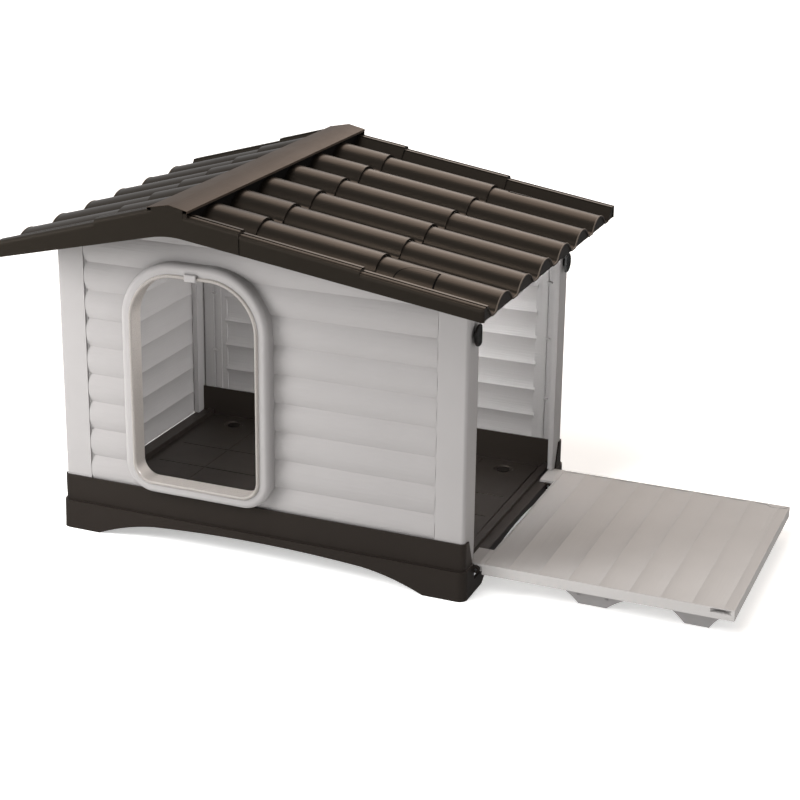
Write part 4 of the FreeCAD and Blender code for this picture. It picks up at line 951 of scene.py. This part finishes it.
    def rim(self, course: Course) -> Surface:
        """A fine rounded rim along the end of all rolls, a circle carried along the section.

        Its points are p + r (cos a n + sin a e), with n square to the section and e along X.

        Args:
            course: course of tiles that ends at the eave.

        Returns:
            The closed rim.
        """
        x = np.array([course.x_low - course.downhill() * (self.rim_radius + self.rim_setback)])
        path = self.skin(course, self.rolls_section(0.0), x, 0.0)[0]
        tangent = np.gradient(path[:, 1:], axis=0)
        tangent /= np.linalg.norm(tangent, axis=1, keepdims=True)
        normal = np.stack((np.zeros(len(path)), -tangent[:, 1], tangent[:, 0]), axis=-1)
        angle = np.linspace(0, math.tau, self.rim_sides, endpoint=False)[:, None]
        circle = np.cos(angle) * normal[:, None] + np.sin(angle) * np.array((1.0, 0.0, 0.0))
        return tube(path[:, None] + self.rim_radius * circle)

    def cap_profile(self) -> tuple[np.ndarray, np.ndarray]:
        """Outside and inside of the ridge cap's section, as X and Z.

        Two facets end in a lip on either side, and the flanks stand back under the lips. The
        inside has a row of close points under each lip, so that both lie point on point.

        Returns:
            Points of the outside and of the inside, from the left foot to the right one.
        """
        (left, left_z), (top, top_z), (right, right_z) = self.cap_left, self.cap_top, self.cap_right
        foot_left, foot_right, foot_z = left + self.cap_lip, right - self.cap_lip, self.cap_foot_z
        low_left, low_right = left_z - self.cap_edge, right_z - self.cap_edge
        outer = np.array([
            (foot_left, foot_z), (foot_left, low_left), (left, low_left), (left, left_z),
            (top, top_z),
            (right, right_z), (right, low_right), (foot_right, low_right), (foot_right, foot_z),
        ])
        wall, row = self.wall, self.cap_row
        inner_left, inner_right = foot_left + wall, foot_right - wall
        inner = np.array([
            (inner_left, foot_z), (inner_left, low_left - 2 * row), (inner_left, low_left - row),
            (inner_left, low_left),
            (top, top_z - wall),
            (inner_right, low_right), (inner_right, low_right - row),
            (inner_right, low_right - 2 * row), (inner_right, foot_z),
        ])
        return outer, inner

    def cap(self) -> Surface:
        """The ridge cap as its section carried along Y, just short of the fascia's faces.

        Returns:
            The closed shell.
        """
        y = np.array((-1.0, 1.0))[:, None] * (self.verge - self.cap_setback)
        skins = []
        for profile in self.cap_profile():
            across, height = profile.T
            skins.append(np.stack(np.broadcast_arrays(across, y, height), axis=-1))
        return shell(skins[0], skins[1])

    def fascia_strip(self, x: np.ndarray, top: np.ndarray, setback: float, side: Side) -> Surface:
        """A strip of fascia from a line at its top down to the fascia's lower edge.

        Args:
            x: places along the strip.
            top: height of its top at these places.
            setback: distance of its face behind the verge.
            side: front or back of the roof.

        Returns:
            The closed strip, whose back lies in the plane of the roof's inside.
        """
        foot = self.fascia(x)
        heights = np.stack((top, top, foot, foot), axis=-1)
        y = side.value * (self.verge - np.array((setback, self.wall, self.wall, setback)))
        return tube(np.stack(np.broadcast_arrays(x[:, None], y, heights), axis=-1))

    def seam(self) -> list[Surface]:
        """The dark joint between both mouldings, as a thin near-black strip of painted shade on the
        fascia at either end.

        Returns:
            Front and back strip.
        """
        reach = self.seam_line * self.seam_reach
        x = self.seam_x + self.seam_gap / 2 + np.array((-reach, reach))
        top = self.courses()[3].level(x) - self.seam_top
        return [self.fascia_strip(x, top, self.seam_depth, side) for side in Side]

    def cap_fascia(self) -> list[Surface]:
        """The pieces of fascia under the two ends of the ridge cap and behind its lips' ends.

        Their tops follow the cap's facets.

        Returns:
            Three strips for each end of the cap.
        """
        left, right = self.cap_left[0], self.cap_right[0]
        lip, end = self.cap_lip, self.cap_setback
        corners_x, corners_z = self.cap_profile()[0][3:6].T
        spans = ((left + lip, right - lip, 0.0), (left + end, left + lip, end),
                 (right - lip, right - end, end))
        strips = []
        for start, stop, setback in spans:
            x = np.linspace(start, stop, self.cap_steps)
            top = np.interp(x, corners_x, corners_z) - self.cap_setback
            strips += [self.fascia_strip(x, top, setback, side) for side in Side]
        return strips

    def cap_gaps(self) -> list[Surface]:
        """The dark gaps under the cap's two lips, as thin near-black strips of painted shade
        carried along its flanks.

        Returns:
            Left and right strip.
        """
        half = self.verge - self.cap_gap_end
        y = np.array((-half, half))[:, None]
        flanks = ((self.cap_left[0] + self.cap_lip, self.cap_left[1], -self.cap_gap_proud),
                  (self.cap_right[0] - self.cap_lip, self.cap_right[1], self.cap_gap_proud))
        strips = []
        for flank, lip_z, proud in flanks:
            low, high = self.cap_foot_z, lip_z - self.cap_edge + self.cap_gap_lap
            x = np.array((flank + proud, flank + proud, flank - proud, flank - proud))
            z = np.array((low, high, high, low))
            strips.append(tube(np.stack(np.broadcast_arrays(x, y, z), axis=-1)))
        return strips

    def covers(self, grow: float, lift: float) -> list[Surface]:
        """Two D-shaped plates on the outermost rolls of the right slope, back one turned by half.

        Along X the plate reaches from its foot line y0 up to y0 + w sin t, where
        x = round end - span cos t, and stays w wide from the round end on. Its height is that
        of the roll below it plus the lift.

        Args:
            grow: distance added all round, in millimetres.
            lift: height above the roll.

        Returns:
            Front and back plate.
        """
        x0, x1 = self.cover_x[0] - grow, self.cover_x[1] + grow
        y0, y1 = self.cover_y[0] - grow, self.cover_y[1] + grow
        round_end = x1 - self.cover_straight
        turn = np.radians(np.linspace(self.cover_first_turn, 90.0, self.cover_steps))
        x = np.concatenate((round_end - (round_end - x0) * np.cos(turn), [x1]))
        width = np.concatenate(((y1 - y0) * np.sin(turn), [y1 - y0]))
        y = y0 + width[:, None] * np.linspace(0.0, 1.0, self.cover_steps + 1)
        course = self.courses()[2]
        section = self.rolls_section(0.0)
        plates = []
        for side in Side:
            along, across = (x, y) if side is Side.FRONT else (x0 + x1 - x, -y)
            depth = np.interp(across, section[:, 0], section[:, 1])
            height = course.level(along)[:, None] - depth * course.stretch()
            along = np.broadcast_to(along[:, None], across.shape)
            skins = [np.stack((along, across, height + rise), axis=-1)
                     for rise in (lift, lift - self.cover_sheet)]
            plates.append(shell(skins[0], skins[1]))
        return plates

    def left(self) -> list[Surface]:
        """The left moulding: two courses, the cap's ends and the top course of the right slope.

        Returns:
            Its closed surfaces.
        """
        low, high, _, _, upper = self.courses()
        return [self.sheet(low), self.tongue_sheet(low), self.eave_plate(low), self.sheet(high),
                *self.cap_fascia(), self.sheet(upper)]

    def right(self) -> list[Surface]:
        """The right moulding: two courses, of which the upper one laps under the left moulding.

        Returns:
            Its closed surfaces.
        """
        low, middle = self.courses()[2:4]
        return [self.sheet(low), self.tongue_sheet(low), self.eave_plate(low), self.sheet(middle),
                self.tongue_sheet(middle)]


@dataclass(frozen=True)
class Doorway:
    """Outline of the doorway: straight sides, wide round corners on top, small ones below."""

    left: float = -224.0
    right: float = 9.5
    bottom: float = 126.0
    top: float = 502.0
    top_radius: float = 84.0
    bottom_radius: float = 30.0
    corner_steps: int = 28

    def path(self, gap: float) -> tuple[np.ndarray, np.ndarray]:
        """Walk round the outline from one side of the middle of its top to the other.

        A corner with centre c and radius r is p = c + r (cos a, sin a), and its normal is
        (cos a, sin a), with a falling by a quarter turn from 90, 0, -90 and -180 degrees.

        Args:
            gap: distance left open between both ends, in millimetres.

        Returns:
            Points (X, Z) and outward normals.
        """
        radii = np.array([self.top_radius, self.bottom_radius, self.bottom_radius, self.top_radius])
        centre_x = np.array([self.right, self.right, self.left, self.left]) - radii * (1, 1, -1, -1)
        centre_z = np.array([self.top, self.bottom, self.bottom, self.top]) - radii * (1, -1, -1, 1)
        start = np.radians((90, 0, -90, -180))
        angle = start[:, None] - np.linspace(0, math.pi / 2, self.corner_steps + 1)
        normals = np.stack((np.cos(angle), np.sin(angle)), axis=-1)
        points = np.stack((centre_x, centre_z), axis=-1)[:, None] + radii[:, None, None] * normals
        middle = (self.left + self.right) / 2
        ends = np.array([[middle + gap / 2, self.top], [middle - gap / 2, self.top]])
        up = np.array([[0.0, 1.0]])
        return (np.concatenate((ends[:1], points.reshape(-1, 2), ends[1:])),
                np.concatenate((up, normals.reshape(-1, 2), up)))

    def sweep(self, profile: np.ndarray, gap: float) -> np.ndarray:
        """Carry a closed profile round the outline.

        Each profile point (o, y) lands on p + o n, at depth y.

        Args:
            profile: distance outwards from the doorway and depth Y, in millimetres.
            gap: distance left open between both ends.

        Returns:
            Rings of points as rings by profile points by XYZ.
        """
        points, normals = self.path(gap)
        flat = points[:, None] + normals[:, None] * profile[None, :, :1]
        depth = np.broadcast_to(profile[None, :, 1], flat.shape[:2])
        return np.stack((flat[..., 0], depth, flat[..., 1]), axis=-1)


@dataclass
class DoorFrame:
    """The moulded surround of the doorway with its soft edge, and the metal guard in it."""

    finishes: Finishes
    doorway: Doorway = Doorway()
    front: float = -283.0
    # Guard: a bead in front of a lining, split at the middle of the top
    bead_width: float = 6.4
    bead_height: float = 3.0
    bead_gap: float = 0.3
    sheet: float = 1.2
    lining_end: float = -255.0
    guard_split: float = 2.0
    # Surround: a skin over its core, whose inner edge leaves room for the guard
    surround_width: float = 24.0
    surround_round: float = 10.0
    surround_root: float = -256.5
    skin: float = 0.15
    embedded: float = 1.6
    guard_room: float = 1.5
    surround_split: float = 0.02
    # Fineness of the meshes
    bead_steps: int = 16
    edge_steps: int = 12

    def build(self) -> None:
        """Make the guard, and the surround's rounded edge over its bevelled core."""
        for piece in self.guard():
            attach(piece, "kennel")
            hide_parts("door_guard")
        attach(self.surround(), "kennel")

    def guard(self) -> list[bpy.types.Object]:
        """A half-round bead in front of a thin lining, as profiles carried round the doorway.

        Returns:
            The bead and the lining.
        """
        back, half = self.front - self.bead_gap, self.bead_width / 2
        bead = arc_points((half, back), (half, self.bead_height), 180, 360, self.bead_steps)
        lining = np.array([[0.0, self.lining_end], [0.0, back], [self.sheet, back],
                           [self.sheet, self.lining_end]])
        return [make_piece(name, [tube(self.doorway.sweep(profile, self.guard_split))],
                           self.finishes.guard)
                for name, profile in (("door_guard_bead", bead), ("door_guard_lining", lining))]

    def surround(self) -> bpy.types.Object:
        """A thin skin of the surround: side, wide round edge and flat front.

        Its profile goes out along an arc (r cos a, r sin a) and back along one of radius r - e.

        Returns:
            The skin.
        """
        outer = self.surround_width + self.skin
        face = self.front - self.skin
        radius = self.surround_round
        centre = (outer - radius, face + radius)
        within = radius - self.embedded
        edge = arc_points(centre, (radius, radius), 0, -90, self.edge_steps)
        inside = arc_points(centre, (within, within), -90, 0, self.edge_steps)
        profile = np.concatenate(([[outer, self.surround_root]], edge, [[self.guard_room, face]],
                                  [[self.guard_room, face + self.embedded]], inside,
                                  [[outer - self.embedded, self.surround_root]]))
        rings = self.doorway.sweep(profile, self.surround_split)
        return make_piece("door_surround_edge", [tube(rings)], self.finishes.post)


@dataclass
class TurnButton:
    """A round button with a rolled rim and a shallow dish, flat on the side of the opening."""

    side: Side
    finishes: Finishes
    centre_y: float = 235.0
    centre_z: float = 459.0
    seat_x: float = 382.9
    back_x: float = 387.2
    front_x: float = 391.8
    radius: float = 18.5
    rim_round: float = 2.2
    foot_round: float = 1.0
    dish_radius: float = 14.5
    dish_depth: float = 0.9
    dish_start: float = 0.06
    hub_radius: float = 7.0
    flat: float = 8.6
    # Fineness of the mesh
    around: int = 96
    dish_steps: int = 12
    foot_steps: int = 4

    def build(self) -> None:
        """Turn a profile round the button's axis and level it at the flat.

        The dish is x = front - d cos^2(pi r / 2 R), the rim a quarter circle. The levelled side
        is y = min(r cos t, f), so the outline keeps its round where it lies within the flat.
        """
        share = np.linspace(self.dish_start, 1.0, self.dish_steps)
        dish = share * self.dish_radius
        hollow = self.dish_depth * np.cos(math.pi * dish / (2 * self.dish_radius)) ** 2
        dish_x = self.front_x - hollow
        rim = arc_points((self.radius - self.rim_round, self.front_x - self.rim_round),
                         (self.rim_round, self.rim_round), 90, 0)
        foot = arc_points((self.radius - self.foot_round, self.back_x + self.foot_round),
                          (self.foot_round, self.foot_round), 0, -90, self.foot_steps)
        profile = np.concatenate((np.stack((dish, dish_x), axis=-1), rim, foot,
                                  [[self.hub_radius, self.back_x], [self.hub_radius, self.seat_x]]))
        angle = np.linspace(0, math.tau, self.around, endpoint=False)
        across = np.minimum(profile[:, :1] * np.cos(angle), self.flat)
        up = profile[:, :1] * np.sin(angle)
        points = np.stack((np.broadcast_to(profile[:, 1:], across.shape),
                           self.side.value * (self.centre_y - across), self.centre_z + up), axis=-1)
        name = f"{self.side.name.lower()}_turn_button"
        piece = make_piece(name, [tube(points)], self.finishes.button)
        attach(piece, f"{self.side.name.lower()}_latch")
        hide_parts(f"{self.side.name.lower()}_latch")


@dataclass(frozen=True)
class Lamp:
    """A square soft light that points at the kennel. Lengths are in metres."""

    name: str
    place: tuple[float, float, float]
    target: tuple[float, float, float]
    size: float
    power: float
    colour: str = "#ffffff"
    gleams: bool = True

    def build(self) -> None:
        """Put the light in place, turned towards its target. One that doesn't gleam only shades."""
        data = bpy.data.lights.new(self.name, "AREA")
        data.size = self.size
        data.energy = self.power
        data.color = linear(self.colour)[:3]
        lamp = add_object(self.name, data)
        lamp.location = self.place
        lamp.rotation_mode = "QUATERNION"
        lamp.rotation_quaternion = (Vector(self.target) - lamp.location).to_track_quat("-Z", "Y")
        lamp.visible_camera = False
        lamp.visible_glossy = self.gleams


@dataclass
class Studio:
    """A plain pale floor, soft light from all round and the photograph's camera."""

    # Floor: half its width in metres, its colour, glow and roughness
    floor_half: float = 30.0
    floor_colour: str = "#fbfbfa"
    paper_glow: float = 0.46
    paper_roughness: float = 0.9
    # Sky: strengths, and the elevations in degrees between which it darkens
    sky_colour: str = "#fefeff"
    horizon_strength: float = 0.5
    ceiling_strength: float = 0.16
    bright_until: float = 18.0
    dark_from: float = 55.0
    # Ground below the horizon: share of the sky's strength, and the heights of its edge
    ground_share: float = 0.2
    ground_edge: tuple[float, float] = (-0.12, 0.02)
    # Light from overhead, with its width and direction in degrees
    overhead_power: float = 1.9
    overhead_width: float = 40.0
    overhead_lean: float = 34.0
    overhead_turn: float = -32.0
    # Camera: picture in pixels, sensor and place in millimetres, angles in degrees
    image_width: float = 800.0
    sensor: float = 36.0
    camera_x: float = 1325.4
    camera_y: float = -2867.6
    camera_z: float = 1373.2
    azimuth: float = 22.19
    elevation: float = 17.69
    roll: float = 0.72
    focal_pixels: float = 1828.0
    centre_row: float = 320.0
    lamps: Sequence[Lamp] = (
        Lamp("key_light", (-1.5, -1.2, 0.9), (-0.5, -0.26, 0.35), 0.8, 38.0, gleams=False),
        Lamp("side_light", (2.5, -0.8, 0.9), (0.1, 0.2, 0.25), 1.0, 6.0, "#fbfcff"),
        Lamp("inside_light", (0.02, -0.1, 0.43), (-0.36, 0.25, 0.16), 0.16, 2.7),
        Lamp("back_wall_light", (-0.25, -0.05, 0.5), (-0.28, 0.3, 0.24), 0.1, 0.8),
        Lamp("roof_light", (-0.3, -1.3, 2.8), (0.0, 0.0, 0.6), 0.5, 3.0, "#fff4e8"),
        Lamp("back_light", (0.2, 3.0, 3.2), (-0.2, 0.0, 0.6), 4.2, 84.0, "#ffead8"),
    )

    def build(self) -> None:
        """Make floor, sky, lights and camera."""
        scene = bpy.context.scene
        scene.view_settings.view_transform = "Standard"
        self.floor()
        self.sky()
        self.sun()
        for lamp in self.lamps:
            lamp.build()
        self.camera()

    def floor(self) -> None:
        """A wide flat floor of pale matt paper, lit from below as on a light table."""
        half = self.floor_half
        mesh = bpy.data.meshes.new("studio_floor")
        mesh.from_pydata([(-half, -half, 0), (half, -half, 0), (half, half, 0), (-half, half, 0)],
                         [], [(0, 1, 2, 3)])
        floor = add_object("studio_floor", mesh)
        material, tree = empty_material("pale_matt_paper")
        shader = add_node(tree, "ShaderNodeBsdfPrincipled",
                          {"Base Color": linear(self.floor_colour),
                           "Roughness": self.paper_roughness,
                           "Emission Color": linear(self.floor_colour),
                           "Emission Strength": self.paper_glow})
        add_node(tree, "ShaderNodeOutputMaterial", links={"Surface": shader.outputs["BSDF"]})
        mesh.materials.append(material)
        floor.visible_glossy = False

    def sky(self) -> None:
        """Bright surroundings near the horizon that darken towards the ceiling.

        The strength falls from the horizon's to the ceiling's between two elevations, so that
        round glossy forms show a light crest and a darker band. Gloss doesn't see the paper but
        the dark ground below the horizon, as in a cut-out photograph.
        """
        world = bpy.data.worlds.new("studio_sky")
        world.use_nodes = True
        tree = world.node_tree
        tree.nodes.clear()
        direction = add_node(tree, "ShaderNodeTexCoord").outputs["Generated"]
        height = add_node(tree, "ShaderNodeSeparateXYZ", links={"Vector": direction}).outputs["Z"]
        upper = add_node(tree, "ShaderNodeMapRange",
                         {"From Min": math.sin(math.radians(self.bright_until)),
                          "From Max": math.sin(math.radians(self.dark_from)),
                          "To Min": self.horizon_strength, "To Max": self.ceiling_strength},
                         {"Value": height}, interpolation_type="SMOOTHSTEP")
        ground, horizon = self.ground_edge
        lower = add_node(tree, "ShaderNodeMapRange",
                         {"From Min": ground, "From Max": horizon,
                          "To Min": self.ground_share, "To Max": 1.0},
                         {"Value": height}, interpolation_type="SMOOTHSTEP")
        strength = add_node(tree, "ShaderNodeMath", links={0: upper.outputs["Result"],
                                                           1: lower.outputs["Result"]},
                            operation="MULTIPLY")
        light = add_node(tree, "ShaderNodeBackground", {"Color": linear(self.sky_colour)},
                         {"Strength": strength.outputs["Value"]})
        add_node(tree, "ShaderNodeOutputWorld", links={"Surface": light.outputs["Background"]})
        bpy.context.scene.world = world

    def sun(self) -> None:
        """A wide soft light from above the front left, which shades the boards but has no gleam."""
        data = bpy.data.lights.new("overhead_light", "SUN")
        data.energy = self.overhead_power
        data.angle = math.radians(self.overhead_width)
        lamp = add_object("overhead_light", data)
        lamp.rotation_euler = (math.radians(self.overhead_lean), 0.0,
                               math.radians(self.overhead_turn))
        lamp.visible_glossy = False

    def camera(self) -> None:
        """The camera, fitted to the kennel's straight edges and corners in the photograph."""
        data = bpy.data.cameras.new("photo_camera")
        data.sensor_width = self.sensor
        data.lens = self.sensor * self.focal_pixels / self.image_width
        data.shift_y = (self.centre_row - self.image_width / 2) / self.image_width
        azimuth, elevation, roll = (math.radians(angle)
                                    for angle in (self.azimuth, self.elevation, self.roll))
        back = Vector((math.sin(azimuth) * math.cos(elevation),
                       -math.cos(azimuth) * math.cos(elevation), math.sin(elevation)))
        level = Vector((math.cos(azimuth), math.sin(azimuth), 0.0))
        above = back.cross(level)
        right = level * math.cos(roll) + above * math.sin(roll)
        up = above * math.cos(roll) - level * math.sin(roll)
        turn = Matrix((right, up, back)).transposed().to_4x4()
        camera = add_object("photo_camera", data)
        place = Vector((self.camera_x * MM + HOUSE_X, self.camera_y * MM, self.camera_z * MM))
        camera.matrix_world = Matrix.Translation(place) @ turn
        bpy.context.scene.camera = camera


def main() -> None:
    """Dress the mouldings, add the fine pieces, and set up the studio."""
    logging.basicConfig(level=logging.INFO, format="%(name)s: %(message)s")
    finishes = Finishes()
    Mouldings(finishes).dress()
    TileRoof(finishes).build()
    DoorFrame(finishes).build()
    for side in Side:
        TurnButton(side, finishes).build()
    Studio().build()


if __name__ == "__main__":
    main()
